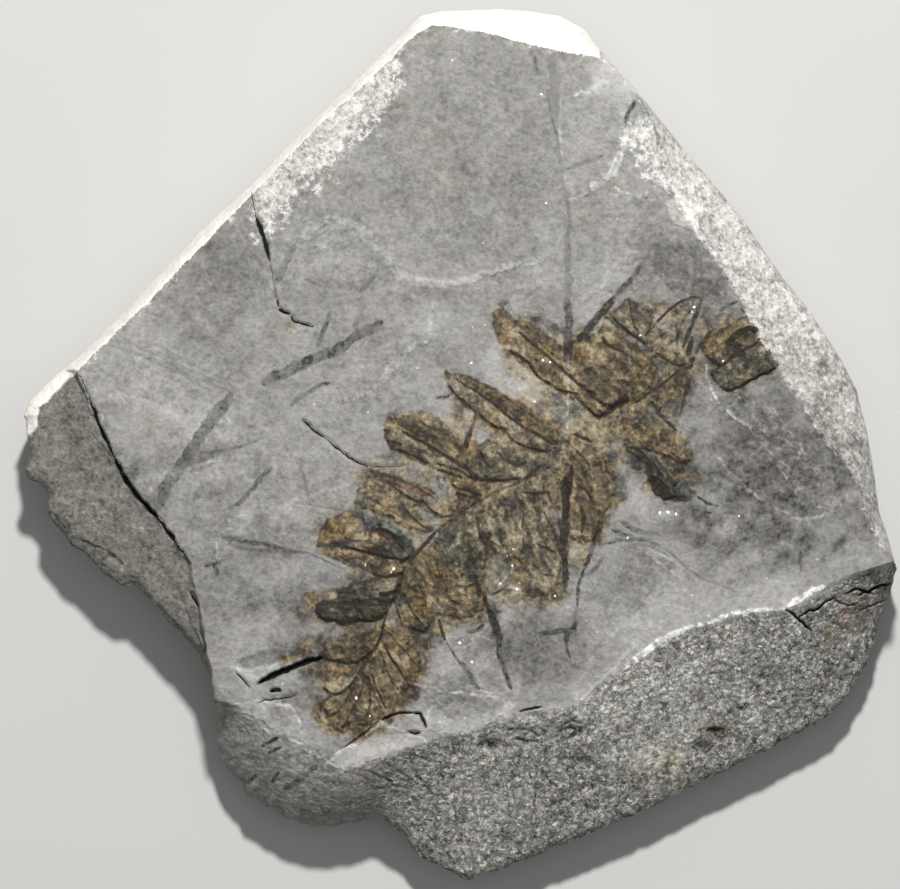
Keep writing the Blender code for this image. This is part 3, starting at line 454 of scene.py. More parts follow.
# Cracks: half width, depth in millimetres, course.
cracks = [
    (1.0, 0.4, "80,376 6,12 6,17"), (2.6, 1.0, "90,400 8,22 9,20 8,17"),
    (3.6, 1.2, "113,455 9,19 8,13 16,19 15,16"), (3.0, 1.0, "159,519 9,13 8,12"), (1.4, 0.6, "174,542 10,12 7,10"),
    (1.7, 0.4, "189,590 5,10 5,8"), (1.2, 0.3, "200,632 5,13 -1,11"), (0.9, 0.2, "251,190 2,12 3,14"),
    (3.0, 0.8, "255,215 5,13 5,14 5,20"), (0.8, 0.2, "270,262 3,18 4,20"), (1.4, 0.5, "274,292 3,8 2,8"),
    (2.4, 0.8, "279,309 5,4 6,1"), (1.6, 0.6, "290,314 4,8 8,2 11,3"), (1.6, 0.6, "302,420 6,5 7,7 10,6"),
    (1.5, 0.6, "325,438 7,6 6,5 10,8 8,5 13,5"), (0.9, 0.2, "369,467 16,0 15,-1 12,-2"),
    (1.5, 0.7, "382,720 8,-4 10,-3 14,0"), (2.2, 0.8, "413,713 7,1 4,7 2,7"),
    (1.2, 0.4, "340,750 12,-8 13,-9 13,-11"), (4.4, 0.9, "258,684 10,-6 12,-6 16,-6 14,-5 12,-3"),
    (1.6, 0.4, "520,712 10,-3 11,-2"), (1.5, 0.4, "235,672 7,7 8,9"), (1.3, 0.3, "255,704 11,-4 11,-1 11,-1 10,-4"),
    (3.0, 0.5, "270,692 6,-2 5,1"), (1.6, 0.9, "786,610 6,3 5,5 7,6 8,7"),
    (1.4, 0.8, "798,618 10,-7 10,-2 8,-7 8,-4"), (1.6, 0.9, "846,594 10,-5 12,3 12,-6 12,-2"),
    (1.2, 0.6, "858,596 8,-4 8,2"), (1.0, 0.5, "860,611 10,-4 10,-4 8,-3"), (0.9, 0.5, "835,600 13,6 10,-2"),
    (1.6, 0.5, "409,732 5,2 6,-1"),
]

crackLook = {"share": 0.72, "reach": 8, "roughness": 1.0}


def crackLayers(points):
    # signed distance to the nearest crack and its half width there, both as a share of the reach, and the groove
    reach = crackLook["reach"]
    gap, width, carved = np.ones(len(points)), np.zeros(len(points)), np.zeros(len(points))
    for halfWidth, depth, course in cracks:
        ragged = roughen(path(course), crackLook["roughness"], 6, 97, step=2)
        away, along, side = toLine(points, ragged, reach + 1)
        closer = np.flatnonzero(away < np.minimum(np.abs(gap) * reach, reach + 0.9))
        share, spot = along[closer], points[closer]
        taper = np.sqrt(np.clip(np.minimum(share, 1 - share) * 5, 0.02, 1))
        wide = crackLook["share"] * halfWidth * taper * (1 + 0.35 * noise(spot, 11, 98))
        gap[closer] = side[closer] * away[closer] / reach
        width[closer] = wide / reach * (1 - smooth(away[closer], 3.5, 6.5))
        groove = -depth * (1 - smooth(away[closer], wide * 0.4, wide + 0.9))
        carved[closer] = np.minimum(carved[closer], groove)
    return gap, width, carved


# Areas where the stone is scratched and bruised: strength, middle, half sizes, turn in degrees.
bruises = [
    (0.9, (190, 400), (110, 60), 35), (0.8, (260, 480), (120, 70), 20), (0.6, (400, 350), (70, 60), 0),
    (0.7, (640, 590), (80, 50), -30), (0.9, (440, 700), (90, 40), -10), (0.9, (290, 720), (60, 40), 30),
    (0.6, (560, 420), (60, 40), 30), (0.5, (700, 200), (50, 60), 40), (0.4, (620, 130), (40, 60), 20),
    (0.5, (790, 590), (80, 30), -20), (0.5, (340, 250), (60, 40), 0),
]


def reachOf(points, spot, sizes, turn):
    # 0 in the middle of a turned ellipse, 1 on its rim
    gap = points - spot
    cosine, sine = math.cos(math.radians(turn)), math.sin(math.radians(turn))
    along, across = gap[:, 0] * cosine + gap[:, 1] * sine, gap[:, 1] * cosine - gap[:, 0] * sine
    return np.hypot(along / sizes[0], across / sizes[1])


def bruiseLayer(points):
    # thin crests of two folded noises, one of them drawn out on a slant, kept inside soft ellipses
    slanted = np.stack([points[:, 0] * 0.7 + points[:, 1] * 0.6, points[:, 1] * 1.5 - points[:, 0]], axis=1)
    folds = 1 - 2.4 * np.abs(fractal(points, 30, 4, 51, 0.62))
    thin = 1 - 2.6 * np.abs(fractal(slanted, 26, 3, 52))
    area = np.zeros(len(points))
    for strength, spot, sizes, turn in bruises:
        area = np.maximum(area, strength * (1 - smooth(reachOf(points, spot, sizes, turn), 0.3, 1.3)))
    return area * (smooth(folds, 0.45, 1.0) * 0.7 + smooth(thin, 0.5, 1.0) * 0.6)


# Colours of the film of the plant, and of stains in the stone.
hues = {
    "brown": (0.108, 0.078, 0.0344), "tan": (0.172, 0.134, 0.0738), "orange": (0.1395, 0.0946, 0.0432),
    "redBrown": (0.12, 0.068, 0.036), "olive": (0.08, 0.07, 0.042), "darkOlive": (0.036, 0.0304, 0.0141),
    "sand": (0.42, 0.37, 0.29), "blue": (0.08, 0.088, 0.086), "greyBrown": (0.138, 0.1143, 0.0708),
    "mauve": (0.175, 0.162, 0.155),
}

# Leaflets and the crushed leaf between them: hue, strength, rise in millimetres, border.
leaves = [
    ("greyBrown", 0.6, 0.05, "478,490 22,-6 20,-2 25,-4 13,6 0,16 -13,12 -15,-4 -20,-4 -20,4 -16,6 -10,-4"),
    ("brown", 0.85, 0.1, "384,625 10,7 12,10 12,12 2,14 -6,14 -10,10 -8,11 -12,5 -10,2 -4,14 -10,5 -8,-7 -8,11 "
     "-10,-5 -8,-12 -6,-12 10,-8 14,-4 12,-10 10,-14 10,-18"),
    ("brown", 0.85, 0.12, "404,566 10,-8 14,-8 18,2 10,10 6,14 14,4 8,12 0,16 -14,8 -18,2 -14,-6 -6,10 -8,10 "
     "-12,-4 -10,-16 -6,-20"),
    ("olive", 0.8, 0.12, "432,545 8,-13 12,-10 12,-8 14,-2 8,12 2,18 -2,16 -6,18 -10,4 -12,-10 -12,-14"),
    ("greyBrown", 0.8, 0.12, "486,514 14,-8 16,-2 14,4 14,8 10,14 6,18 0,20 -4,16 -10,10 -14,2 -8,-8 2,-16 -6,-12 "
     "-14,-6 -12,-2 -6,-16"),
    ("brown", 0.7, 0.1, "566,452 10,-8 14,2 10,10 10,14 6,16 -4,14 -8,12 -4,18 -8,10 -10,4 -10,-8 -2,-26 -2,-30"),
    ("tan", 0.55, 0.06, "545,455 11,-9 10,-4 14,-6 16,-8 14,-4 2,16 -6,12 -14,-2 -16,2 -8,14 -8,10 -10,-6"),
    ("greyBrown", 0.45, 0.14, "323,684 9,-5 13,-5 13,-4 4,7 -8,9 -12,7 -10,3 -7,-5"),
    ("brown", 0.85, 0.18, "320,655 8,-7 12,-5 15,-6 13,-4 12,-2 0,14 -9,8 -13,7 -14,2 -14,-1"),
    ("darkOlive", 0.85, 0.24, "318,604 8,-3 10,-2 9,-4 11,1 10,3 12,4 9,1 -3,8 -5,7 -9,3 -10,-2 -8,3 -9,2 -7,-5 "
     "-9,1 -8,-4 -3,-7"),
    ("brown", 0.75, 0.1, "336,599 6,-5 10,-1 12,3 14,4 10,3 -8,2 -20,-1 -15,-1"),
    ("greyBrown", 0.8, 0.18, "338,592 12,-7 12,-3 14,-4 12,5 11,5 -3,10 -8,5 -14,-1 -14,-6 -14,-2"),
    ("tan", 0.55, 0.08, "322,552 14,-3 14,3 16,4 18,4 20,2 0,5 -20,-1 -18,0 -16,0 -12,-6"),
    ("brown", 0.8, 0.15, "372,566 12,-4 12,0 9,4 -2,7 -9,4 -12,1 -8,-4"),
    ("orange", 0.7, 0.14, "319,545 2,-15 6,-9 11,-5 14,-2 10,3 5,11 -4,11 -13,3 -14,3"),
    ("blue", 0.6, 0.12, "362,518 14,1 14,5 12,8 10,11 0,10 -12,-7 -12,-11 -14,-4 -10,-1"),
    ("olive", 0.88, 0.2, "322,546 18,-7 20,1 18,1 14,4 12,6 8,5 -10,4 -16,-3 -16,-4 -16,-4 -16,-2"),
    ("redBrown", 0.8, 0.08, "368,532 10,-3 10,3 8,8 -4,5 -10,-5 -8,-3"),
    ("tan", 0.66, 0.15, "356,502 2,-12 10,-6 16,7 14,8 12,11 14,10 9,10 -9,1 -16,-4 -16,-8 -14,-7 -14,-5"),
    ("tan", 0.55, 0.16, "366,474 18,7 18,6 18,4 14,8 12,11 -5,7 -11,-6 -14,-8 -14,-8 -14,-7 -14,-6"),
    ("redBrown", 0.7, 0.08, "370,470 14,4 16,5 16,5 14,6 10,8 -4,4 -16,-8 -16,-6 -16,-5 -14,-6"),
    ("brown", 0.7, 0.12, "452,478 10,1 10,5 8,9 -8,5 -10,-4 -8,-6"),
    ("tan", 0.6, 0.05, "453,502 15,-6 12,1 -6,6 -12,5 -14,6 0,-6"),
    ("greyBrown", 0.7, 0.2, "384,434 8,-6 10,4 14,7 14,7 14,7 14,8 12,8 10,10 -14,-2 -16,-6 -14,-4 -16,-5 -16,-8 "
     "-12,-7"),
    ("brown", 0.82, 0.15, "384,430 12,-11 16,-3 12,4 12,7 12,4 8,9 8,10 10,8 8,8 -2,10 -14,-9 -16,-9 -16,-9 -16,-9 "
     "-16,-8"),
    ("olive", 0.85, 0.12, "478,446 8,-6 10,4 8,8 12,4 14,0 14,2 6,8 -12,8 -18,5 -16,2 -14,0 -9,-8"),
    ("orange", 0.6, 0.05, "452,446 10,-2 10,-2 8,4 0,12 -12,3 -10,-3"),
    ("greyBrown", 0.75, 0.2, "446,372 10,4 14,9 16,11 14,11 14,12 16,12 16,10 11,4 -9,7 -16,-2 -16,-8 -10,-11 "
     "-14,-6 -14,-10 -14,-10 -10,-10 -6,-11"),
    ("brown", 0.8, 0.15, "456,374 14,3 16,9 14,6 14,8 16,10 15,10 13,12 0,12 -13,-6 -15,-9 -16,-12 -14,-13 -14,-10 "
     "-16,-10"),
    ("brown", 0.82, 0.2, "508,350 6,-10 6,-8 12,8 14,12 14,14 16,16 16,14 16,12 -10,9 -14,-11 -16,-11 -16,-8 "
     "-12,-8 -10,-12 -12,-8"),
    ("brown", 0.86, 0.18, "514,322 12,0 14,8 12,10 14,12 14,10 12,12 14,12 14,12 -8,10 -14,-11 -16,-13 -16,-16 "
     "-16,-16 -16,-14 -14,-10"),
    ("orange", 0.62, 0.12, "494,312 9,-3 9,9 4,12 -2,14 -6,7 -10,-11 -4,-14"),
    ("brown", 0.86, 0.16, "560,350 12,-6 14,-6 12,-4 6,-10 8,6 8,8 10,4 10,8 10,8 6,10 -4,14 -8,10 -12,8 -14,2 "
     "-14,-12 -16,-16 -16,-14"),
    ("olive", 0.72, 0.1, "606,316 8,-4 12,-13 8,3 6,10 8,-6 6,12 -6,14 2,10 -8,0 -12,-8 -12,-8"),
    ("greyBrown", 0.55, 0.08, "648,340 8,-16 12,-14 14,-9 14,-4 -6,13 -8,12 -4,14 -10,8 -12,2"),
    ("greyBrown", 0.55, 0.1, "650,352 12,-6 12,4 10,8 0,8 -14,-2 -12,-6"),
    ("brown", 0.8, 0.18, "702,348 8,-10 12,-8 14,-8 12,-6 10,4 5,10 -5,12 -12,6 -14,10 -12,9 -10,-7"),
    ("olive", 0.86, 0.2, "720,367 10,-9 12,-8 14,-5 12,1 8,11 3,10 -13,6 -14,6 -12,8 -12,4 -10,-7 -6,-10"),
    ("darkOlive", 0.85, 0.2, "626,444 10,2 10,6 10,8 10,10 8,12 0,14 -10,3 -10,-8 -6,-13 -2,-12 -8,-10 -10,-6"),
    ("greyBrown", 0.6, 0.1, "644,450 12,4 14,6 14,6 -8,8 -12,-8 -12,-8"),
    ("orange", 0.62, 0.14, "622,420 10,-5 12,7 8,8 12,7 12,9 14,14 -8,4 -14,-6 -14,-6 -14,-5 -12,-7"),
]
# Soft stains: hue, strength, softness in plan units, border.
stains = [
    ("tan", 0.55, 10, "300,600 22,-10 20,-5 3,-25 -29,-15 0,-23 24,-12 16,-10 -4,-24 18,-16 20,-20 -8,-20 28,-12 "
     "30,10 12,-14 -10,-32 28,0 50,20 -15,-32 -13,-35 6,-22 42,15 50,12 16,-30 34,-4 50,4 60,16 26,34 -1,26 -40,20 "
     "-35,-18 -20,42 22,50 -2,30 -45,0 -33,-30 -8,50 -24,40 -30,44 -40,8 -40,-8 6,16 -46,20 -10,40 -18,28 -28,24 "
     "-44,10 -25,-24 -7,-36 -28,-18 16,-28 26,-8"),
    ("brown", 0.6, 8, "400,560 30,-15 40,-45 -18,-20 -52,-40 20,-10 50,20 30,-10 -40,-50 20,-5 50,25 30,15 -40,-75 "
     "40,-5 50,-15 40,15 40,17 -10,38 -30,10 40,40 0,40 -40,-10 -30,-30 -4,50 -16,40 -30,0 -10,60 -35,-4 -25,-40 "
     "-16,4 2,52 -36,10 -22,18 -13,60 -35,26 -40,6 -22,-27 12,-20 40,-40 25,-45"),
    ("brown", 0.45, 5, "322,540 28,-20 50,20 4,20 -34,-4 -30,-6"),
    ("brown", 0.45, 6, "700,345 40,-27 24,7 12,31 -8,16 -36,18 -20,-18"),
    ("mauve", 0.35, 16, "640,180 50,50 45,70 -35,-4 -60,-6 -40,10 10,-50"),
    ("mauve", 0.4, 16, "740,400 50,0 30,40 25,40 5,40 -50,-20 -40,-30 -30,-30"),
    ("mauve", 0.35, 10, "690,500 30,0 40,20 30,40 -30,-10 -40,-20"),
    ("mauve", 0.3, 14, "490,280 70,-10 5,70 -25,-10 -40,-20"),
    ("tan", 0.14, 16, "40,420 50,10 20,50 40,60 40,60 -40,-10 -60,-50 -40,-60"),
    ("orange", 0.5, 6, "298,598 20,-4 -2,14 2,14 -14,2 -8,-12"),
    ("orange", 0.5, 6, "278,657 22,-13 30,-9 32,-8 16,-2 -2,7 -31,8 -25,8 -24,9 -16,6"),
    ("orange", 0.5, 5, "320,664 25,-2 7,8 -20,8 -12,8 -8,-10"),
    ("orange", 0.6, 5, "316,700 8,18 10,10 12,6 14,-2 14,-4 14,-12 10,-8 -4,14 -20,15 -26,6 -22,-8 -14,-19"),
    ("orange", 0.6, 6, "396,706 8,-12 8,-14 5,8 -7,14 -10,11"),
    ("orange", 0.6, 5, "400,626 16,8 14,0 11,7 -13,7 -14,-5 -12,-6"),
    ("tan", 0.6, 5, "436,612 16,4 18,-2 16,-8 1,14 -17,7 -20,-3 -12,-4"),
    ("orange", 0.55, 5, "534,572 14,-14 12,14 -4,17 -12,5"),
    ("tan", 0.4, 5, "524,594 21,4 17,-6 -2,13 -20,6 -18,-7"),
    ("tan", 0.55, 4, "382,422 14,-12 24,0 26,10 2,12 -18,-4 -18,-8 -16,4 -10,9"),
    ("orange", 0.6, 3, "757,318 11,15 10,19 -4,6 -10,-13 -9,-14"),
    ("tan", 0.5, 5, "600,415 14,-5 26,-4 12,9 -12,10 -28,3"),
    ("tan", 0.4, 6, "362,486 10,-8 18,8 20,14 10,15 -20,-3 -20,-12"),
    ("orange", 0.45, 4, "548,420 12,4 2,14 -10,4 -10,-8"), ("orange", 0.45, 5, "500,484 18,-2 4,12 -18,2"),
    ("blue", 0.7, 4, "552,396 10,-3 4,17 -2,15 -8,-5"), ("blue", 0.6, 4, "570,400 10,2 4,16 -12,8"),
    ("blue", 0.95, 3, "364,583 10,-4 10,4 8,9 -8,9 -10,0 -7,-7"), ("blue", 0.95, 3, "415,617 8,2 6,13 -7,3 -6,-9"),
    ("blue", 0.75, 4, "438,534 14,-5 7,11 -2,16 -9,5 -7,-11"), ("blue", 0.95, 3, "435,477 8,0 7,11 -3,6 -8,-6"),
    ("blue", 0.8, 4, "601,373 11,-5 12,8 -1,13 -11,4 -9,-7"), ("blue", 0.85, 4, "595,439 13,0 9,11 -5,9 -11,-5"),
    ("blue", 0.7, 4, "585,459 11,0 9,16 9,16 -10,4 -11,-15"), ("blue", 0.75, 3, "674,481 12,0 12,11 -8,7 -12,-2"),
    ("blue", 0.8, 3, "749,355 9,0 5,9 -7,5 -7,-5"), ("blue", 0.95, 3, "665,324 9,-2 7,8 -4,9 -10,-5"),
    ("blue", 0.95, 2.5, "703,315 6,1 4,10 -5,4 -5,-8"), ("blue", 0.7, 3, "647,364 11,-5 9,5 -2,9 -11,2"),
    ("blue", 0.65, 3, "709,372 9,-2 5,8 -9,7 -7,-5"), ("blue", 0.7, 3, "735,396 8,-3 2,11 -7,1"),
    ("blue", 0.6, 5, "614,480 11,-3 8,13 -9,8 -9,-6"), ("blue", 0.45, 5, "622,455 12,0 7,15 -11,6"),
    ("blue", 0.85, 4, "487,604 8,0 6,21 0,13 -10,-1"), ("blue", 0.55, 4, "494,559 12,-4 3,13 -11,5"),
    ("blue", 0.45, 6, "486,520 12,-4 3,24 -9,9"), ("blue", 0.6, 3, "383,688 11,2 5,9 -10,2"),
    ("blue", 0.55, 4, "325,646 17,-6 9,6 -11,5"), ("blue", 0.55, 4, "556,514 7,-4 1,65 -7,-15"),
    ("orange", 0.6, 4, "818,630 14,-8 14,6 -8,16 -14,2"),
    ("redBrown", 0.45, 6, "838,606 28,-8 18,2 -10,22 -24,12 -14,-10"),
    ("redBrown", 0.4, 6, "700,725 22,-3 10,13 -20,7 -14,-4"),
    ("sand", 0.6, 10, "640,762 18,-10 18,-4 16,12 -2,16 -18,10 -20,-2 -12,-8"),
    ("tan", 0.5, 5, "280,322 12,-4 6,10 -12,4"),
]

# The stalk of the frond, and how its veins run: how much they lean to the tip, and their two widths.
rachis = path("730,345 -40,17 -70,43 -60,41 -60,38 -55,36 -45,43 -15,59 -17,42 -28,31 -28,47")
leafVeins = {
    "reach": 190, "lean": 0.36, "width": 7.5, "fineWidth": 2.9, "strength": 0.38, "margin": 0.32, "midrib": 0.16,
}


def veinStreaks(points, wisps):
    # noise drawn out along lines that leave the stalk at a slant towards its tip, on both of its sides
    away, share, side = toLine(points, rachis, leafVeins["reach"])
    slant = np.stack([share * 620 - leafVeins["lean"] * away + 6 * wisps, 0.15 * away * side + 90 * side], axis=1)
    broad = fractal(slant, leafVeins["width"], 3, 35, 0.6)
    return 0.75 * broad + 0.35 * fractal(slant * [1, 1.8], leafVeins["fineWidth"], 2, 39)


def leafLayers(points):
    # film colour and strength laid on in turn, stains first, then leaves, which also rise; a leaf is darkened along
    # its middle line, found from the long axis of its border, and inside its margin, where the darkening is painted
    # shade along the leaf's sloping edge
    tint, film = np.zeros((len(points), 3)), np.zeros(len(points))
    rough = 1.1 * noise(points, 7.5, 31) + 0.7 * noise(points, 3.4, 32)
    wisps = fractal(points, 16, 4, 33)
    streaks = veinStreaks(points, wisps)
    rise, veins = np.zeros(len(points)), 0.55 * fractal(points, 12, 5, 36, 0.7) + 0.40 * fractal(points, 30, 3, 38)
    for hue, strength, soft, border in stains:
        depth = depthIn(points, path(border), soft * 2 + 10) + wisps * (soft * 0.7 + 2)
        mask = strength * smooth(depth, -soft, soft) * np.clip(1 + 0.35 * wisps, 0, 1.2)
        tint = tint * (1 - mask[:, None]) + np.array(hues[hue]) * mask[:, None]
        film = film * (1 - mask) + mask
    veins += leafVeins["strength"] * streaks * smooth(film, 0.2, 0.8)
    for hue, strength, lift, border in leaves:
        border = path(border)
        depth = depthIn(points, border, 16)
        near = np.flatnonzero(depth > -8)
        centre = border.mean(0)
        sizes, axes = np.linalg.svd(border - centre)[1:]
        across = np.abs((points[near] - centre) @ axes[1])
        depth = depth[near] + 1.4 + 1.3 * rough[near] + 1.2 * streaks[near]
        mask = (0.45 + 0.55 * strength) * smooth(depth, -0.9, 1.3)
        tint[near] = tint[near] * (1 - mask[:, None]) + np.array(hues[hue]) * mask[:, None]
        film[near] = film[near] * (1 - mask) + mask
        vault = smooth(depth, -0.6, 1.8) * (0.7 + 0.3 * smooth(depth, 1, 12))
        rise[near] = np.maximum(rise[near], lift * vault)
        blend = smooth(depth, -0.5, 2)
        narrow = smooth(sizes[0] / sizes[1], 1.5, 3.0)
        shade = leafVeins["midrib"] * narrow * np.exp(-across / 3.0)
        # painted shade: darker inside the leaf's margin
        shade += leafVeins["margin"] * (1 - smooth(depth, 0.3, 4.0))
        veins[near] += blend * (0.16 * streaks[near] - shade * (0.4 + 0.6 * smooth(rough[near], -0.8, 0.6)))
        rise[near] += 0.06 * blend * streaks[near]
    return tint / np.maximum(film, 1e-4)[:, None], film, rise, veins


# Soft pale (plus) or dark (minus) patches of the stone: strength, middle, half sizes, turn in degrees.
tones = [
    (-0.75, (775, 440), (115, 90), 50), (-0.5, (672, 270), (55, 42), 30), (-0.5, (230, 580), (45, 100), -8),
    (-0.45, (210, 290), (85, 45), -42), (-0.75, (530, 650), (62, 45), 0), (-0.45, (612, 575), (45, 42), 0),
    (-0.5, (690, 545), (60, 30), 20), (0.3, (118, 400), (46, 44), 30), (-0.35, (300, 630), (50, 50), 0),
    (0.8, (672, 715), (90, 55), -25), (0.5, (480, 800), (70, 40), -20), (-0.25, (330, 310), (60, 40), -20),
    (0.45, (468, 418), (7, 20), 12), (0.5, (502, 434), (30, 8), 28), (0.6, (535, 395), (14, 12), 40),
    (0.3, (520, 375), (36, 10), 36), (1.0, (667, 514), (9, 5), 0), (0.45, (640, 508), (44, 22), 20),
    (0.35, (262, 640), (40, 26), -20), (0.45, (450, 712), (54, 20), -6), (0.4, (380, 745), (44, 15), -12),
    (0.1, (640, 605), (60, 44), -30), (0.35, (770, 590), (50, 20), -25), (0.4, (180, 360), (70, 20), 34),
    (0.3, (300, 440), (60, 34), 30), (0.3, (285, 500), (70, 20), -8), (0.3, (345, 255), (38, 24), 10),
    (0.35, (420, 320), (20, 40), 8), (0.3, (340, 385), (50, 14), -28), (0.3, (240, 430), (30, 30), 0),
    (0.25, (640, 240), (30, 60), 30), (0.25, (600, 110), (30, 40), 0), (0.25, (660, 340), (24, 20), 0),
    (-0.35, (560, 660), (70, 40), -10), (-0.25, (790, 480), (60, 60), 40), (-0.25, (710, 480), (50, 40), 10),
    (-0.2, (720, 540), (80, 30), 20), (-0.2, (505, 660), (26, 34), 0), (-0.25, (150, 430), (50, 30), 30),
    (-0.25, (230, 590), (40, 30), 30), (-0.3, (400, 775), (56, 18), -6), (-0.2, (300, 800), (60, 20), 8),
    (-0.25, (600, 300), (60, 22), 0), (-0.2, (500, 160), (60, 90), 0), (-0.15, (330, 300), (30, 20), 0),
    (-0.3, (585, 225), (22, 40), 20), (-0.3, (700, 540), (40, 10), 26), (-0.65, (285, 480), (75, 60), 20),
    (-0.55, (330, 625), (70, 60), 0), (-0.75, (300, 700), (40, 30), 0), (-0.6, (455, 700), (45, 24), 0),
    (-0.4, (400, 345), (44, 44), 0), (-0.45, (210, 362), (54, 40), 0), (-0.6, (662, 400), (40, 40), 30),
    (-0.45, (665, 510), (54, 60), 0), (-0.55, (775, 520), (64, 50), 0), (-0.45, (635, 592), (44, 30), -30),
    (-0.35, (715, 300), (64, 46), 40), (-0.25, (440, 210), (90, 80), 0), (-0.3, (235, 255), (44, 30), 0),
    (0.75, (550, 388), (62, 50), 40), (0.5, (492, 440), (44, 34), 0), (0.65, (606, 300), (26, 32), 0),
    (-0.5, (402, 575), (44, 54), 30), (0.7, (645, 672), (86, 34), -25), (0.8, (745, 642), (60, 28), -20),
    (0.6, (598, 702), (44, 26), -20), (0.45, (655, 752), (50, 26), -20), (0.5, (850, 600), (34, 24), -20),
    (-0.9, (852, 470), (24, 70), -22), (1.3, (620, 72), (34, 26), 45), (-0.5, (845, 385), (20, 50), -25),
    (0.4, (575, 425), (20, 20), 0), (-0.45, (570, 428), (26, 18), 30), (0.5, (668, 545), (44, 16), 24),
    (0.45, (840, 490), (30, 34), 0), (0.35, (100, 450), (30, 30), 0), (0.4, (395, 490), (26, 20), 30),
    (-0.5, (250, 405), (26, 20), 0), (-0.4, (452, 690), (30, 14), 0), (-0.4, (350, 745), (40, 12), -20),
    (-0.4, (780, 560), (50, 20), -20), (-0.35, (285, 540), (50, 24), 0), (-0.75, (185, 457), (62, 13), -12),
    (-0.5, (150, 495), (60, 26), 35), (-0.45, (425, 296), (44, 10), -6), (-0.75, (455, 711), (38, 16), 0),
    (0.4, (838, 622), (26, 22), 0), (-0.35, (338, 522), (24, 10), 0), (0.45, (235, 640), (24, 30), 0),
    (-0.5, (100, 440), (30, 40), -20), (-0.45, (808, 380), (26, 60), -30),
]


def toneLayer(points):
    # soft ellipses whose rims are eaten by noise, light and dark ones added up
    layer = np.zeros(len(points))
    eaten = fractal(points, 22, 4, 41)
    for strength, spot, sizes, turn in tones:
        layer += strength * (1 - smooth(reachOf(points, spot, sizes, turn) + eaten * 0.5, 0.25, 1.4))
    return layer + 0.18 * fractal(points, 34, 5, 43)


# Plates of a thin bed: paleness, height in millimetres, bruise on the rim, softness of the rim, border.
plates = [
    (0.1, 0.1, 0.6, 1.2, "412,684 28,6 30,4 30,4 14,8 -9,8 -15,8 -12,10 -16,5 -22,-4 -15,-5 3,-16 8,-8"),
    (0.35, 0.0, 0.5, 4.0, "440,722 30,-6 25,-4 13,-4 -8,8 -14,8 -10,8 -14,3 -20,-5"),
    (0.55, 0.12, 0.7, 1.2, "380,722 20,8 24,8 3,7 -27,4 -20,8 -20,8 -20,4 -15,-4 15,-15 16,-6 12,-10"),
    (0.55, 0.08, 0.55, 1.0, "498,713 22,5 25,0 25,-6 13,0 -3,8 -28,5 -32,2 -20,-5"),
    (1.0, 0.1, 0.6, 1.0, "232,668 18,1 20,-2 14,-6 8,3 -20,12 -20,5 -12,-4"),
    (-0.45, 0.0, 0.0, 2.0, "238,664 8,-8 16,-4 20,0 -2,8 -18,6 -14,2"),
    (0.3, 0.08, 0.6, 1.2, "236,704 16,-4 18,2 20,4 10,16 2,16 -10,4 -14,-12 -16,-8 -16,-6"),
    (-0.3, -0.08, 0.45, 1.2, "300,744 22,8 18,16 -10,8 -24,-6 -14,-12"),
    (0.1, 0.06, 0.75, 1.0, "622,139 10,-4 13,3 10,16 6,21 -8,15 -13,6 -18,-4 -11,-8 -5,-6 9,-18"),
    (0.18, 0.05, 0.55, 1.0, "560,100 12,-9 18,1 12,-11 16,2 12,17 2,28 -12,14 -8,18 -12,18 -16,18 -18,-6 -6,-50"),
    (0.9, 0.05, 0.4, 1.6, "666,201 24,-2 7,13 -7,15 -14,-2 -8,-11"),
    (-0.7, -0.05, 0.2, 1.6, "700,216 12,-4 7,16 -6,12 -14,-2"),
    (-0.25, -0.03, 0.35, 1.4, "654,232 18,-6 18,4 14,14 18,28 16,28 -26,6 -22,-10 -22,-8 -18,-18"),
    (-0.2, -0.12, 0.0, 2.2, "300,246 14,-16 20,-6 20,4 20,14 12,14 14,20 -20,14 -28,2 -28,-4 -20,-12"),
    (0.12, 0.05, 0.35, 1.2, "570,200 20,-8 16,-2 12,6 14,4 8,14 -4,26 -16,28 -20,22 -20,10 -8,-30"),
    (-0.18, -0.06, 0.45, 1.4, "712,392 10,16 16,12 22,10 26,10 14,12 22,28 12,32 -34,8 -40,-20 -32,-30 -22,-30"),
    (0.15, 0.05, 0.4, 1.2, "96,400 24,-6 30,8 30,16 26,-6 -16,28 -22,30 -18,20 -20,-20 -18,-30"),
    (0.12, 0.04, 0.35, 1.2, "226,520 34,-8 40,-14 40,-10 12,12 -22,22 -14,18 -46,-4 -30,-2"),
    (0.05, 0.05, 0.3, 1.2, "576,700 24,-24 30,-22 30,-16 30,-12 10,-14 -30,-8 -30,8 -30,24 -24,28"),
    (0.14, 0.04, 0.3, 1.2, "446,642 16,6 16,-12 14,4 6,20 8,30 -24,0 -12,-14 -14,-16"),
]


def plateLayers(points):
    # thin plates of a bed left standing or broken away: their paleness, height and the bruise along their rims
    paleness, lifted, bruised = (np.zeros(len(points)) for _ in range(3))
    eaten = 1.3 * noise(points, 8, 47) + 0.7 * noise(points, 3.6, 48)
    cloudy, worn = fractal(points, 14, 4, 49), noise(points, 17, 50)
    for tone, lift, rim, soft, border in plates:
        depth = depthIn(points, path(border), soft + 6) + eaten
        mask = smooth(depth, -soft, soft)
        paleness += tone * mask * (1 + 0.4 * cloudy)
        lifted += lift * mask
        bruised = np.maximum(bruised, rim * np.exp(-(depth / 1.8) ** 2) * smooth(worn, -0.7, 0.0))
    return paleness, lifted, bruised
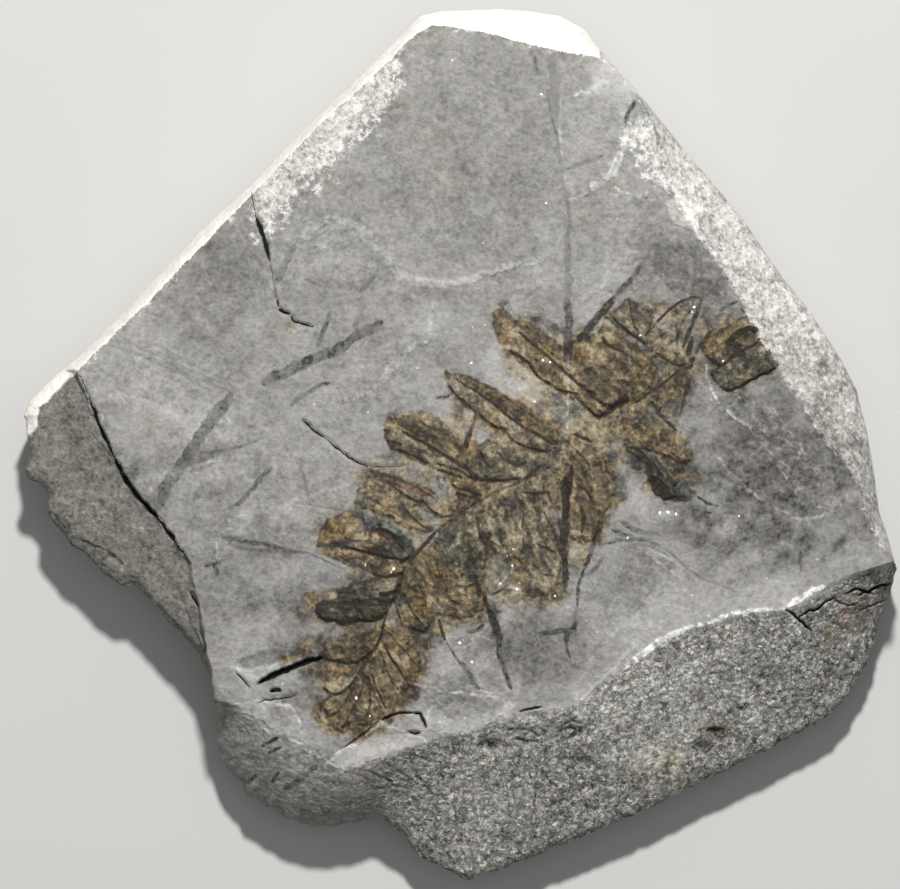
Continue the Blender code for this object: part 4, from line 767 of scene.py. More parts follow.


# Grains with painted glints, white or amber: column, row, radius, amber share.
glints = [
    (473, 327, 1.4, 0), (485, 325, 1.1, 0), (543, 360, 1.3, 0.1), (550, 362, 1.5, 0.1), (427, 601, 1.6, 0.2),
    (339, 577, 1.3, 0), (365, 565, 1.5, 0.1), (394, 569, 2.6, 0.15), (391, 572, 1.6, 0.1), (640, 335, 1.4, 0),
    (723, 361, 1.4, 0.2), (756, 354, 1.4, 0), (548, 389, 2.0, 0), (660, 513, 2.6, 0), (668, 512, 3.2, 0),
    (676, 514, 2.2, 0), (708, 439, 2.0, 0.7), (605, 567, 1.8, 0.7), (563, 666, 1.7, 0.8), (739, 516, 1.4, 0.2),
    (755, 537, 1.6, 0.3), (460, 643, 2.0, 0), (463, 640, 1.6, 0), (472, 662, 1.8, 0), (453, 722, 1.5, 0),
    (465, 718, 1.6, 0), (445, 717, 1.1, 0), (370, 716, 1.4, 0), (356, 698, 1.8, 0), (582, 699, 3.0, 0.15),
    (541, 94, 2.2, 0), (546, 203, 2.2, 0.1), (506, 578, 2.0, 0), (510, 574, 1.8, 0), (512, 566, 1.2, 0),
    (500, 584, 1.8, 0), (517, 589, 1.8, 0), (519, 583, 1.6, 0.1), (513, 550, 1.3, 0), (507, 556, 1.2, 0),
    (555, 596, 1.4, 0), (485, 205, 1.0, 0), (483, 243, 1.1, 0), (767, 578, 1.8, 0.2), (692, 595, 1.1, 0),
    (597, 632, 1.2, 0), (628, 538, 1.3, 0), (412, 608, 1.0, 0), (368, 412, 1.2, 0), (485, 497, 1.2, 0),
    (471, 363, 1.5, 0), (535, 402, 2.8, 0), (540, 388, 1.8, 0), (694, 307, 1.8, 0), (692, 312, 1.3, 0),
    (236, 236, 1.0, 0), (288, 663, 1.8, 0), (282, 684, 2.0, 0), (452, 60, 1.4, 0), (500, 83, 1.2, 0),
]


def glintLayers(points, fine):
    # painted glints: small round dots with ragged rims, shared out between white and amber, and how far they stand up
    white, amber, raised = (np.zeros(len(points)) for _ in range(3))
    for x, y, radius, amberShare in glints:
        gap = np.hypot(points[:, 0] - x, points[:, 1] - y)
        near = gap < radius + 4
        dot = 1 - smooth(gap[near] + 1.4 * fine[near], radius * 0.1, radius * 0.7 + 0.3)
        raised[near] += dot
        white[near] = np.maximum(white[near], dot * (1 - amberShare))
        amber[near] = np.maximum(amber[near], dot * amberShare)
    return white, amber, raised


def zoneMasks(points):
    # whether a point lies in each zone, its distance to the zone's inner line, and the share of the way out
    toEdge, _, _ = toLine(points, np.concatenate([edge, edge[:1]]), 150)
    zones = {"edge": toEdge}
    for name, zone, line, reach in (("rind", rindZone, rind, 90), ("bevel", bevelZone, bevel, 90),
                                    ("shelf", shelfZone, shelf, 130), ("break", breakZone, crest, 190)):
        toInner, _, _ = toLine(points, line, reach)
        zones[name] = inside(points, zone)
        zones[name + "Share"] = toInner / np.maximum(toInner + toEdge, 1e-6)
        zones[name + "Away"] = toInner
    zones["rind"] &= ~zones["shelf"]
    zones["plain"] = ~(zones["break"] | zones["rind"] | zones["bevel"] | zones["shelf"])
    return zones


# Grains of the broken side: sizes in plan units, heights in millimetres, and where they give way to streaks.
brokenGrain = {
    "size": 4.4, "smallSize": 2.7, "rise": 0.13, "step": 0.12, "smallRise": 0.08, "smallStep": 0.08, "lumps": 0.16,
    "ripple": 0.05, "streaks": 0.10, "streaksEnd": 330,
}


def brokenRelief(points, zones, fine, wide):
    # a drop to the edge, a few lumps and, to the right, grains that stand proud of each other; to the left slanted
    # streaks; with the height come the shares of grit and of streaks
    broken, pastEnd = zones["break"], points[:, 0] - brokenGrain["streaksEnd"]
    grown = np.where(broken, smooth(zones["breakAway"], 0, 6), 0)
    grit = grown * np.clip(pastEnd / 80, 0.25, 1)
    streaks = np.where(broken, 1 - np.clip(pastEnd / 90, 0, 1), 0) * grown
    grain, grainTag = pebbles(points + 1.5 * np.stack([fine, wide], axis=1), brokenGrain["size"], 3)
    small, smallTag = pebbles(points, brokenGrain["smallSize"], 9)
    steepness = 1.1 + 0.8 * smooth(-pastEnd, -100, 0)
    height = -np.where(broken, relief["breakDrop"] * zones["breakShare"] ** steepness, 0)
    height += grown * brokenGrain["lumps"] * fractal(points, 40, 4, 21)
    height += grown * brokenGrain["ripple"] * fractal(points, 9, 2, 23)
    height += grit * (brokenGrain["rise"] * (0.6 - grain) + brokenGrain["step"] * (grainTag - 0.5)
                      + brokenGrain["smallRise"] * (0.6 - small) + brokenGrain["smallStep"] * (smallTag - 0.5))
    slanted = np.stack([points[:, 0] * 0.35 + points[:, 1] * 0.2, points[:, 1] * 1.2 - points[:, 0] * 0.45], axis=1)
    return height + streaks * brokenGrain["streaks"] * fractal(slanted, 12, 4, 22), grit, streaks


crust = {"rindShare": 0.4, "bevelShare": 1.0, "lumps": 0.07, "pits": 0.14, "fine": 0.03}


def crustRelief(points, zones, fine):
    # the rind and the bevel fall away to the edge and are lumpy and pitted
    pits = np.clip(fractal(points, 7, 3, 71) - 0.1, 0, 1)
    share = np.where(zones["rind"], crust["rindShare"], np.where(zones["bevel"], crust["bevelShare"], 0.0))
    height = -np.where(zones["rind"], relief["rindDrop"] * zones["rindShare"] ** 1.4, 0)
    height -= np.where(zones["bevel"], relief["bevelDrop"] * zones["bevelShare"] ** 1.2, 0)
    rough = crust["lumps"] * fractal(points, 14, 3, 72) - crust["pits"] * pits + crust["fine"] * fine
    return height + share * rough


def shelfRelief(points, zones, toWorn):
    # the lower bed at the left: a step down, then a slope of which a quarter goes in two more thin steps
    count = 2.2
    beds = zones["shelfShare"] * count + 0.30 * fractal(points, 60, 3, 81)
    steps = (np.floor(beds) + smooth(beds - np.floor(beds), 0.9, 1.0)) / count
    drop = relief["shelfDrop"] * smooth(zones["shelfAway"], 0, 4)
    drop += relief["shelfSlope"] * (0.75 * zones["shelfShare"] + 0.25 * np.clip(steps, 0, 1))
    drop += relief["shelfWear"] * (1 - smooth(toWorn, 0, 12)) - relief["shelfLumps"] * fractal(points, 14, 4, 82)
    return np.where(zones["shelf"], -drop, 0)


def crustLayer(points, zones, wide):
    # how speckled the stone is: all of the bevel, and inside the rind and the bevel a fringe that thins out inwards
    fringe = np.exp(-(zones["rindAway"] / 44) ** 2)
    fringe *= smooth(points[:, 0], 225, 275) * (1 - smooth(points[:, 0], 375, 430))
    paleCorner = 1 - smooth(reachOf(points, (648, 150), (26, 50), -28) + 0.3 * wide, 0.3, 1.2)
    fringe = np.maximum(1.15 * fringe, 0.75 * paleCorner)
    fringe = np.maximum(fringe, 0.45 * np.exp(-(zones["rindAway"] / 8) ** 2))
    fringe += 0.42 * np.exp(-(zones["bevelAway"] / 3) ** 2)
    onBevel = np.where(zones["bevel"], 0.6 + 0.4 * smooth(zones["bevelAway"], 0, 6), 0)
    return np.clip(onBevel + np.where(zones["plain"], fringe, 0), 0, 1)


def paintStone(points):
    # height in metres and the colour layers of the top of the slab, all from its plan points
    zones = zoneMasks(points)
    fine, wide = fractal(points, 5, 3, 60), fractal(points, 28, 4, 61)
    bruise = bruiseLayer(points)
    paleness, lifted, bruised = plateLayers(points)
    tint, film, leafRise, veins = leafLayers(points)
    ink, darkLineCarved = lineLayer(points, carbonAndShadowLines, 95, 0.45)
    chalk, paleLineRise = lineLayer(points, bruiseAndHighlightLines, 99, 0.1)
    crack, crackWide, crackCarved = crackLayers(points)
    white, amber, raised = glintLayers(points, fine)
    toWorn, _, _ = toLine(points, alongEdge((24, 425), (90, 345)), 60)
    filmy = np.clip(film, 0, 1)

    height = relief["bedding"] + relief["beddingSwell"] * noise(points, 90, 11)
    towardsRight = np.clip((points[:, 0] - 430) / 200, 0, 1)
    height += relief["crestRise"] * towardsRight * np.exp(-(zones["breakAway"] / relief["crestReach"]) ** 2)
    height += relief["wide"] * wide + relief["fine"] * fine + relief["middling"] * fractal(points, 12, 2, 62)
    height += relief["bruise"] * bruise + lifted
    brokenHeight, grit, streaks = brokenRelief(points, zones, fine, wide)
    height += brokenHeight + crustRelief(points, zones, fine) + shelfRelief(points, zones, toWorn)
    for spot, sizes, depth in hollows:
        height -= depth * (1 - smooth(np.hypot(*((points - spot) / sizes).T) + 0.15 * wide, 0.2, 1.0))
    height += relief["leafRise"] * leafRise
    height += filmy * (relief["filmRipple"] * fractal(points, 9, 3, 98) + relief["filmVeins"] * veins)
    height += darkLineCarved + crackCarved + relief["paleLineShare"] * paleLineRise
    height -= relief["edgeRounding"] * np.clip(1 - zones["edge"] / relief["edgeReach"], 0, 1) ** 2
    height += relief["glint"] * raised

    cream = np.where(zones["shelf"], 1 - smooth(toWorn + 1.5 * wide, 3, 20), 0)
    return {
        "height": height * millimetre,
        "tint": tint,
        "film": filmy,
        "veins": np.clip(veins * 0.5 + 0.5, 0, 1),
        "tone": toneLayer(points) + 0.7 * bruise + paleness,
        "ink": ink,
        "chalk": np.maximum(chalk, bruised),
        "crack": crack,
        "crackWide": crackWide,
        "rind": np.maximum(np.where(zones["rind"], 1.0, 0.0), cream),
        "speckle": crustLayer(points, zones, wide),
        "gritty": grit,
        "shelf": np.maximum(np.where(zones["shelf"], smooth(zones["shelfAway"], 0, 4), 0), streaks * 0.35),
        "white": white,
        "amber": amber,
    }


layerNames = ("film", "veins", "tone", "ink", "chalk", "crack", "crackWide", "rind", "speckle", "gritty", "shelf",
              "white", "amber")


def place(points, heights):
    return np.stack([(points[:, 0] - middle[0]) * unit, (middle[1] - points[:, 1]) * unit, heights], axis=1)


def gridFaces(rows, columns, wrapColumns=False, wrapRows=False):
    # quads of a grid whose vertices are numbered row by row
    r = np.arange(rows if wrapRows else rows - 1)[:, None]
    c = np.arange(columns if wrapColumns else columns - 1)[None, :]
    rNext, cNext = (r + 1) % rows, (c + 1) % columns
    quads = np.stack([r * columns + c, r * columns + cNext, rNext * columns + cNext, rNext * columns + c], axis=-1)
    return quads.reshape(-1, 4)


def fanFaces(loop, hub):
    # triangles from a closed loop of vertex numbers to one vertex
    loop = np.asarray(loop)
    return np.stack([loop, np.roll(loop, -1), np.full(len(loop), hub)], axis=1)


def addPiece(name, vertices, quads, triangles, layers, material):
    # one mesh object with its colour layers as point attributes; hidden vertices come last and get zeros;
    # faces out of sight come first and are flat, so that they do not bend the shading of their neighbours
    shown = len(layers["film"])
    groups = []
    for faces in (triangles, quads):
        unseen = (faces >= shown).any(1)
        groups.insert(0, faces[unseen])
        groups.append(faces[~unseen])
    mesh = bpy.data.meshes.new(name)
    corners = np.concatenate([group.ravel() for group in groups]).astype(np.int32)
    sizes = np.concatenate([np.full(len(group), group.shape[1]) for group in groups])
    hidden = np.arange(len(sizes)) < len(groups[0]) + len(groups[1])
    mesh.vertices.add(len(vertices))
    mesh.vertices.foreach_set("co", vertices.astype(np.float32).ravel())
    mesh.loops.add(len(corners))
    mesh.loops.foreach_set("vertex_index", corners)
    mesh.polygons.add(len(sizes))
    mesh.polygons.foreach_set("loop_start", np.concatenate([[0], np.cumsum(sizes)[:-1]]).astype(np.int32))
    mesh.update(calc_edges=True)
    mesh.validate()
    for layer in layerNames:
        values = np.zeros(len(vertices), np.float32)
        values[:len(layers[layer])] = layers[layer]
        mesh.attributes.new(layer, "FLOAT", "POINT").data.foreach_set("value", values)
    colours = np.ones((len(vertices), 4), np.float32)
    colours[:len(layers["tint"]), :3] = layers["tint"]
    mesh.attributes.new("tint", "FLOAT_COLOR", "POINT").data.foreach_set("color", colours.ravel())
    mesh.shade_smooth()
    mesh.attributes.new("sharp_face", "BOOLEAN", "FACE").data.foreach_set("value", hidden)
    mesh.materials.append(material)
    piece = bpy.data.objects.new(name, mesh)
    bpy.context.scene.collection.objects.link(piece)
    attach(piece, "root")
    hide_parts("shale_plate")
    print(name, len(vertices), "points", len(quads) * 2 + len(triangles), "triangles")


# How far a patch carries on under its neighbours in plan units, how much lower it is there, and its hidden depth.
patch = {"lap": 2.4, "dip": 0.03 * millimetre, "sink": 0.9 * millimetre}


def buildPatch(name, look, top, bottom, left, right, material):
    # surface between four drawn sides: the two blends of opposite sides, less the blend of the corners; its
    # border carries on outwards and a little down, under the neighbours, and is closed below by a fan to a hub
    down, across = look["size"]
    top, bottom, left, right = split(top, across), split(bottom, across), split(left, down), split(right, down)
    u, v = np.linspace(0, 1, across)[None, :, None], np.linspace(0, 1, down)[:, None, None]
    sides = (1 - v) * top[None] + v * bottom[None] + (1 - u) * left[:, None] + u * right[:, None]
    corners = (1 - v) * ((1 - u) * top[0] + u * top[-1]) + v * ((1 - u) * bottom[0] + u * bottom[-1])
    points = (sides - corners).reshape(-1, 2)
    index = np.arange(down * across).reshape(down, across)
    loop = np.concatenate([index[0, :-1], index[:-1, -1], index[-1, :0:-1], index[:0:-1, 0]])
    run = np.roll(points[loop], -1, axis=0) - np.roll(points[loop], 1, axis=0)
    out = np.stack([run[:, 1], -run[:, 0]], axis=1) / np.maximum(np.linalg.norm(run, axis=1), 1e-6)[:, None]
    covered = np.concatenate([points, points[loop] + out * patch["lap"]])
    layers = paintStone(covered)
    face = place(covered, layers["height"])
    face[len(points):, 2] -= patch["dip"]
    sunk = face[len(points):] - [0, 0, patch["sink"]]
    centre = place(np.array([look["hub"]], float), np.array([face[:, 2].min() - patch["sink"]]))
    brim = np.arange(len(loop)) + len(points)
    ring = brim + len(loop)
    quads = [gridFaces(down, across)[:, ::-1]]
    for upper, lower in ((loop, brim), (brim, ring)):
        quads.append(np.stack([upper, np.roll(upper, -1), np.roll(lower, -1), lower], axis=1))
    vertices = np.concatenate([face, sunk, centre])
    addPiece(name, vertices, np.concatenate(quads), fanFaces(ring, len(vertices) - 1), layers, material)


# Each patch: points down and across, and the hidden middle under it. The broken side reaches a share of the way
# from the crest to the edge.
fernFaceUpper = {"size": (240, 405), "hub": (400, 300)}
frondBed = {"size": (200, 480), "hub": (540, 440)}
fernFaceLower = {"size": (190, 390), "hub": (640, 590)}
brokenSide = {"size": (100, 800), "hub": (600, 760), "share": 0.72}


def breakLine(share):
    # the line part way from the crest to the lower edge
    upper, lower = split(crest, 900), split(alongEdge((898, 572), (215, 700))[::-1], 900)
    return upper * (1 - share) + lower * share


# The rest of the slab. The profile of its wall is pairs of share of the height and share of the size in plan. Points
# around stand for rind, bevel, broken side and shelf in turn.
slabSides = {
    "around": (390, 360, 470, 330), "zoneRows": 29, "wallRows": 24,
    "sink": 0.9 * millimetre, "floor": 4.5 * millimetre,
    "profile": [(0.0, 0.905), (0.04, 0.925), (0.20, 0.955), (0.42, 0.982), (0.62, 0.992), (0.80, 0.996), (1.0, 1.0)],
    "bedThickness": 1.1 * millimetre, "ledges": 0.011, "fineLedges": 0.004, "wornWaves": 0.004,
}


def edgeWear(rim):
    # 1 where the old weathered outside of the stone meets the edge, 0 where it is broken
    away, _, _ = toLine(rim, alongEdge((22, 416), (898, 572)), 40)
    return 1 - smooth(away, 2, 14)


def buildBody(name, material):
    # rings of points around the slab: sunk cover, the sloping zones out to the edge, the wall, the base
    lowerEdge = alongEdge((898, 572), (215, 700))
    innerLines = (rind, bevel, breakLine(brokenSide["share"])[::-1], shelf[::-1])
    rimLines = (alongEdge((60, 370), (600, 48)), alongEdge((600, 48), (898, 572)), lowerEdge,
                alongEdge((215, 700), (60, 370)))
    inner, rim = (np.concatenate([split(line, count + 1)[:-1] for line, count in zip(lines, slabSides["around"])])
                  for lines in (innerLines, rimLines))
    around = len(rim)
    down = np.linspace(0, 1, slabSides["zoneRows"])[:, None, None]
    lap = inner + (inner - rim) / np.linalg.norm(inner - rim, axis=1)[:, None] * patch["lap"]
    points = np.concatenate([lap, (inner * (1 - down) + rim * down).reshape(-1, 2)])
    layers = paintStone(points)
    zone = place(points, layers["height"]).reshape(slabSides["zoneRows"] + 1, around, 3)
    zone[0, :, 2] -= patch["dip"]
    brim = zone[-1]
    # wall: size follows the profile, thin beds stand in and out of it, worn smooth where the rind meets the edge
    worn = edgeWear(rim)
    wall = []
    levels = np.linspace(1, 0, slabSides["wallRows"] + 1)[1:]
    for level in levels:
        size = np.interp(level, *zip(*slabSides["profile"]))
        heights = brim[:, 2] * level
        bed = np.floor(heights / slabSides["bedThickness"] + 0.4 * noise(rim, 60, 111))
        ledge = slabSides["ledges"] * (fractal(rim + bed[:, None] * 37, 30, 3, 112) - 0.3)
        ledge += slabSides["fineLedges"] * fractal(rim + level * 900, 7, 3, 113)
        soft = slabSides["wornWaves"] * fractal(rim + level * 300, 40, 3, 114)
        push = np.minimum(ledge * (1 - worn) + soft * worn, 0.0) * min(1, (1 - level) * 6) * np.sign(level)
        wall.append(np.concatenate([brim[:, :2] * (size * (1 + push))[:, None], heights[:, None]], axis=1))
    base = [wall[-1] * [share, share, 1] for share in (0.75, 0.4)]
    cover = []
    sunk, floor = zone[0, :, 2] - slabSides["sink"], slabSides["floor"]
    for share, height in ((1, sunk), (0.6, floor), (0.25, floor)):
        row = zone[0] * [share, share, 0]
        row[:, 2] += height
        cover.append(row)
    rows = np.concatenate([zone, wall, base, cover])
    count = rows.shape[0] * around
    vertices = np.concatenate([rows.reshape(-1, 3), [[0, 0, 0]], [[0, 0, slabSides["floor"]]]])
    index = np.arange(count).reshape(rows.shape[:2])
    first, last = len(zone) + len(wall) + len(base), len(rows) - 1
    above = gridFaces(first, around, wrapColumns=True)
    below = gridFaces(len(cover), around, wrapColumns=True)[:, ::-1] + first * around
    skirt = np.stack([index[0], np.roll(index[0], -1), np.roll(index[first], -1), index[first]], axis=1)
    caps = np.concatenate([fanFaces(index[first - 1], count), fanFaces(index[last], count + 1)[:, ::-1]])
    for layer in layerNames + ("tint",):
        shape = (len(wall) * around,) + np.shape(layers[layer])[1:]
        layers[layer] = np.concatenate([layers[layer], np.zeros(shape)])
    wornWall = np.tile(worn, len(levels))
    layers["rind"][-len(wornWall):] = wornWall * smooth(np.repeat(levels, around), 0.05, 0.7)
    layers["gritty"][-len(wornWall):] = 0.8 * (1 - wornWall)
    quads = np.concatenate([above, below, skirt[:, ::-1]])
    addPiece(name, vertices, quads, caps, layers, material)


class Maths:
    # wraps a node socket so that arithmetic on it adds Math nodes
    def __init__(self, tree, socket):
        self.tree, self.socket = tree, socket

    def node(self, kind, settings=None, inputs=None, output=0):
        # adds a node, sets its properties, sets or links its inputs, and returns one of its outputs
        made = self.tree.nodes.new(kind)
        for key, value in (settings or {}).items():
            if key == "stops":
                ramp = made.color_ramp
                while len(ramp.elements) < len(value):
                    ramp.elements.new(0.5)
                for element, (position, colour) in zip(ramp.elements, value):
                    element.position, element.color = position, (*colour, 1)
            else:
                setattr(made, key, value)
        for key, value in (inputs or {}).items():
            if isinstance(value, Maths):
                self.tree.links.new(value.socket, made.inputs[key])
            else:
                made.inputs[key].default_value = value
        return Maths(self.tree, made.outputs[output])

    def maths(self, operation, first, second):
        return self.node("ShaderNodeMath", {"operation": operation}, {0: first, 1: second})

    def __add__(self, other):
        return self.maths("ADD", self, other)

    def __radd__(self, other):
        return self.maths("ADD", other, self)

    def __sub__(self, other):
        return self.maths("SUBTRACT", self, other)

    def __rsub__(self, other):
        return self.maths("SUBTRACT", other, self)

    def __mul__(self, other):
        return self.maths("MULTIPLY", self, other)

    def __rmul__(self, other):
        return self.maths("MULTIPLY", other, self)

    def over(self, low, high):
        # S curve from 0 at low to 1 at high
        return self.node("ShaderNodeMapRange", {"interpolation_type": "SMOOTHSTEP"},
                         {"Value": self, "From Min": low, "From Max": high}, "Result")

    def moved(self, seed):
        # the place, shifted so that another noise is read there
        shift = (0.31 * seed, 0.17 * seed, 0.23 * seed)
        return self.node("ShaderNodeVectorMath", {"operation": "ADD"}, {0: self, 1: shift})

    def grains(self, size, detail=3, seed=0):
        # noise about zero, mostly within -2 and 2, of the given feature size in metres, self being the place
        blend = self.node("ShaderNodeTexNoise", {}, {"Vector": self.moved(seed), "Scale": 1 / size, "Detail": detail,
                                                     "Roughness": 0.6}, "Fac")
        return (blend - 0.5) * 9

    def push(self, size, amount):
        # the place, shifted about by a noise
        drift = self.node("ShaderNodeTexNoise", {}, {"Vector": self, "Scale": 1 / size, "Detail": 2}, "Color")
        centred = self.node("ShaderNodeVectorMath", {"operation": "SUBTRACT"}, {0: drift, 1: (0.5, 0.5, 0.5)})
        scaled = self.node("ShaderNodeVectorMath", {"operation": "SCALE"}, {0: centred, "Scale": amount * 4})
        return self.node("ShaderNodeVectorMath", {"operation": "ADD"}, {0: self, 1: scaled})

    def cells(self, size, output, seed=0):
        # crowded grains: a chance grey for each, or the distance from its middle
        return self.node("ShaderNodeTexVoronoi", {}, {"Vector": self.moved(seed), "Scale": 1 / size}, output)

    def layer(self, name, output="Fac"):
        return self.node("ShaderNodeAttribute", {"attribute_name": name}, {}, output)

    def ramp(self, stops):
        return self.node("ShaderNodeValToRGB", {"stops": stops}, {"Fac": self}, "Color")

    def mix(self, colour, other, blend="MIX"):
        # self is the factor
        return self.node("ShaderNodeMix", {"data_type": "RGBA", "blend_type": blend, "clamp_factor": True},
                         {0: self, 6: colour, 7: other}, 2)


stone = {
    # ramps give each kind of surface its colour, dark to light, by its value
    "bed": [(0.0, (0, 0, 0)), (0.10, (0.103, 0.099, 0.092)), (0.25, (0.255, 0.250, 0.238)),
            (0.60, (0.605, 0.597, 0.582))],
    "grit": [(0.0, (0.008, 0.007, 0.005)), (0.08, (0.085, 0.078, 0.064)), (0.20, (0.208, 0.199, 0.176)),
             (0.45, (0.47, 0.455, 0.41)), (0.80, (0.78, 0.765, 0.72))],
    "film": [(0.0, (0.13, 0.13, 0.13)), (0.30, (0.55, 0.55, 0.55)), (0.50, (1.0, 1.0, 1.0)), (0.80, (1.7, 1.7, 1.7))],
    "rind": [(0.25, (0.56, 0.52, 0.43)), (0.5, (0.73, 0.70, 0.62)), (0.75, (0.83, 0.81, 0.755))],
    "crust": [(0.0, (0.16, 0.15, 0.135)), (0.30, (0.36, 0.345, 0.315)), (0.55, (0.60, 0.585, 0.54)),
              (0.85, (0.82, 0.80, 0.745))],
    # the cream of the leaf ribs below is a painted highlight, the near-black of the cracks is painted shade, and the
    # pale and white colours serve partly as painted highlights
    "ribHighlight": (0.34, 0.30, 0.225), "chalk": (0.50, 0.495, 0.48), "white": (0.86, 0.85, 0.82),
    "amber": (0.50, 0.30, 0.14), "ink": (0.013, 0.013, 0.012), "umber": (0.016, 0.010, 0.005),
    "crackShade": (0.006, 0.006, 0.006),
    # colours that the stone and the film are multiplied by here and there
    "warm": (1.05, 0.99, 0.93), "rusty": (1.20, 1.02, 0.86), "bluish": (0.84, 0.92, 1.04),
    "ochre": (1.12, 0.96, 0.74), "slate": (0.80, 0.86, 0.90),
    # middle value of each kind of surface
    "bedValue": 0.240, "gritValue": 0.250, "shelfValue": 0.148, "filmValue": 0.43, "crustValue": 0.44,
    "rindValue": 0.60,
    # feature sizes in metres, of noises and of crowded grains
    "broad": 0.012, "cloud": 0.0040, "blotch": 0.0016, "fine": 0.0008, "grain": 0.00045, "warmPatch": 0.007,
    "wornPatch": 0.0026, "ochrePatch": 0.0042, "slatePatch": 0.0036, "gritGrain": 0.00037, "speck": 0.00044,
    "spot": 0.0010, "spark": 0.0024, "huedGrain": 0.0005, "warp": 0.0003,
    "roughness": 0.84, "specular": 0.3, "bumpStrength": 0.8, "bumpDepth": 0.00022,
}


def rgba(colour):
    return (*colour, 1)


def stoneFinish(name):
    material = bpy.data.materials.new(name)
    material.use_nodes = True
    tree = material.node_tree
    shader = tree.nodes["Principled BSDF"]
    start = Maths(tree, None)
    here = start.node("ShaderNodeTexCoord", {}, {}, "Object")
    tone, veins = start.layer("tone"), start.layer("veins")

    # noises about zero, from 12 mm down to a quarter of a millimetre, and grains with their gaps
    broad = here.grains(stone["broad"], 4)
    cloud = here.grains(stone["cloud"], 4, 2)
    blotch = here.grains(stone["blotch"], 4, 3)
    fine = here.grains(stone["fine"], 3, 4)
    grain = here.grains(stone["grain"], 2, 7)
    warped = here.push(stone["warp"], stone["warp"])
    tag, gap = warped.cells(stone["gritGrain"], "Color"), warped.cells(stone["gritGrain"], "Distance")
    speckTag = warped.cells(stone["speck"], "Color", 3)
    spotTag, spotGap = warped.cells(stone["spot"], "Color", 5), warped.cells(stone["spot"], "Distance", 5)

    # smooth bed: clouds, fine grain, scattered pale spots and tiny painted sparkle highlights
    spots = (spotTag - 0.52).over(0, 0.12) * (1 - spotGap.over(0.08, 0.34))
    sparkTag, sparkGap = here.cells(stone["spark"], "Color", 6), here.cells(stone["spark"], "Distance", 6)
    sparkleHighlights = sparkTag.over(0.66, 0.70) * (1 - sparkGap.over(0.03, 0.09))
    bedValue = stone["bedValue"] * (1 + broad * 0.045 + cloud * 0.075 + blotch * 0.075 + fine * 0.095 + grain * 0.095
                                    + spots * 0.18 + tone * 0.44 + sparkleHighlights * 0.9)
    colour = bedValue.ramp(stone["bed"])
    warm = (0.5 + here.grains(stone["warmPatch"], 3, 11) * 0.4).over(0, 1)
    colour = (warm * 0.5).mix(colour, rgba(stone["warm"]), "MULTIPLY")
    hued = here.cells(stone["huedGrain"], "Color", 8)
    colour = (hued.over(0.70, 0.95) * 0.5).mix(colour, rgba(stone["rusty"]), "MULTIPLY")
    colour = ((1 - hued).over(0.75, 0.95) * 0.5).mix(colour, rgba(stone["bluish"]), "MULTIPLY")

    # broken face: one grey to each grain, dark gaps, pits and pale chips
    gritValue = stone["gritValue"] * (1 + (tag - 0.5) * 1.7 + fine * 0.18 + blotch * 0.19 + cloud * 0.12
                                      + grain * 0.08 + tone * 0.40)
    gritValue = gritValue * (1.10 - gap.over(0.25, 0.8) * 0.62)
    gritValue = gritValue * (1 - (blotch * 0.5 + fine * 0.5 - 0.95).over(0, 0.4) * 0.85)
    gritValue = gritValue + (tag * 2 + grain * 0.2 - 1.45).over(0, 0.4) * 0.16
    colour = (start.layer("gritty") * 0.97).mix(colour, gritValue.ramp(stone["grit"]))
    shelfValue = stone["shelfValue"] * (1 + fine * 0.12 + grain * 0.15 + blotch * 0.08 + cloud * 0.06
                                        + (tag - 0.5) * 0.8 + tone * 0.3)
    colour = start.layer("shelf").mix(colour, shelfValue.ramp(stone["grit"]))

    # film of the plant, darker in its furrows, paler on its ribs: partly its own colour, partly painted shade in the
    # furrows and a painted highlight on the ribs
    film = start.layer("film")
    worn = here.grains(stone["wornPatch"], 4, 33)
    filmMask = (film * 1.25 - (veins - 0.5) * 0.5 * film + blotch * 0.12 + fine * 0.08 - 0.05
                - worn.over(0.4, 1.8) * 0.55).over(0.0, 1.0)
    filmTone = stone["filmValue"] + (veins - 0.5) * 1.80 + blotch * 0.11 + fine * 0.15 + grain * 0.13 \
        + cloud * 0.05 + tone * 0.22
    leaf = start.node("ShaderNodeVectorMath", {"operation": "MULTIPLY"},
                      {0: start.layer("tint", "Color"), 1: filmTone.ramp(stone["film"])})
    ochre = here.grains(stone["ochrePatch"], 3, 31).over(0.1, 1.6)
    leaf = (ochre * film * 0.8).mix(leaf, rgba(stone["ochre"]), "MULTIPLY")
    slaty = here.grains(stone["slatePatch"], 3, 37).over(0.2, 1.6)
    leaf = (slaty * 0.7).mix(leaf, rgba(stone["slate"]), "MULTIPLY")
    # painted highlight: the palest film is mixed towards a pale cream on the ribs
    leaf = (filmTone.over(0.66, 1.05) * 0.7).mix(leaf, rgba(stone["ribHighlight"]))
    colour = (filmMask * 0.94).mix(colour, leaf)

    # loose dust, pale bruises and painted highlights along crests and ribs, then the crust and the rind
    dust = (fine * 0.34 + grain * 0.30 + blotch * 0.26 + tone * 0.55 - 1.05).over(0.0, 0.8) * (1 - film * 0.7)
    colour = (dust * 0.75).mix(colour, rgba(stone["chalk"]))
    paleMarkMask = start.layer("chalk") * (0.60 + fine * 0.22 + grain * 0.14 + blotch * 0.20) * (1 - film * 0.5)
    # the strongest pale lines turn white: painted highlights on the lit crest and ridges
    paleMarkColour = start.layer("chalk").over(0.5, 0.95).mix(rgba(stone["chalk"]), rgba(stone["white"]))
    colour = paleMarkMask.over(0.0, 0.85).mix(colour, paleMarkColour)

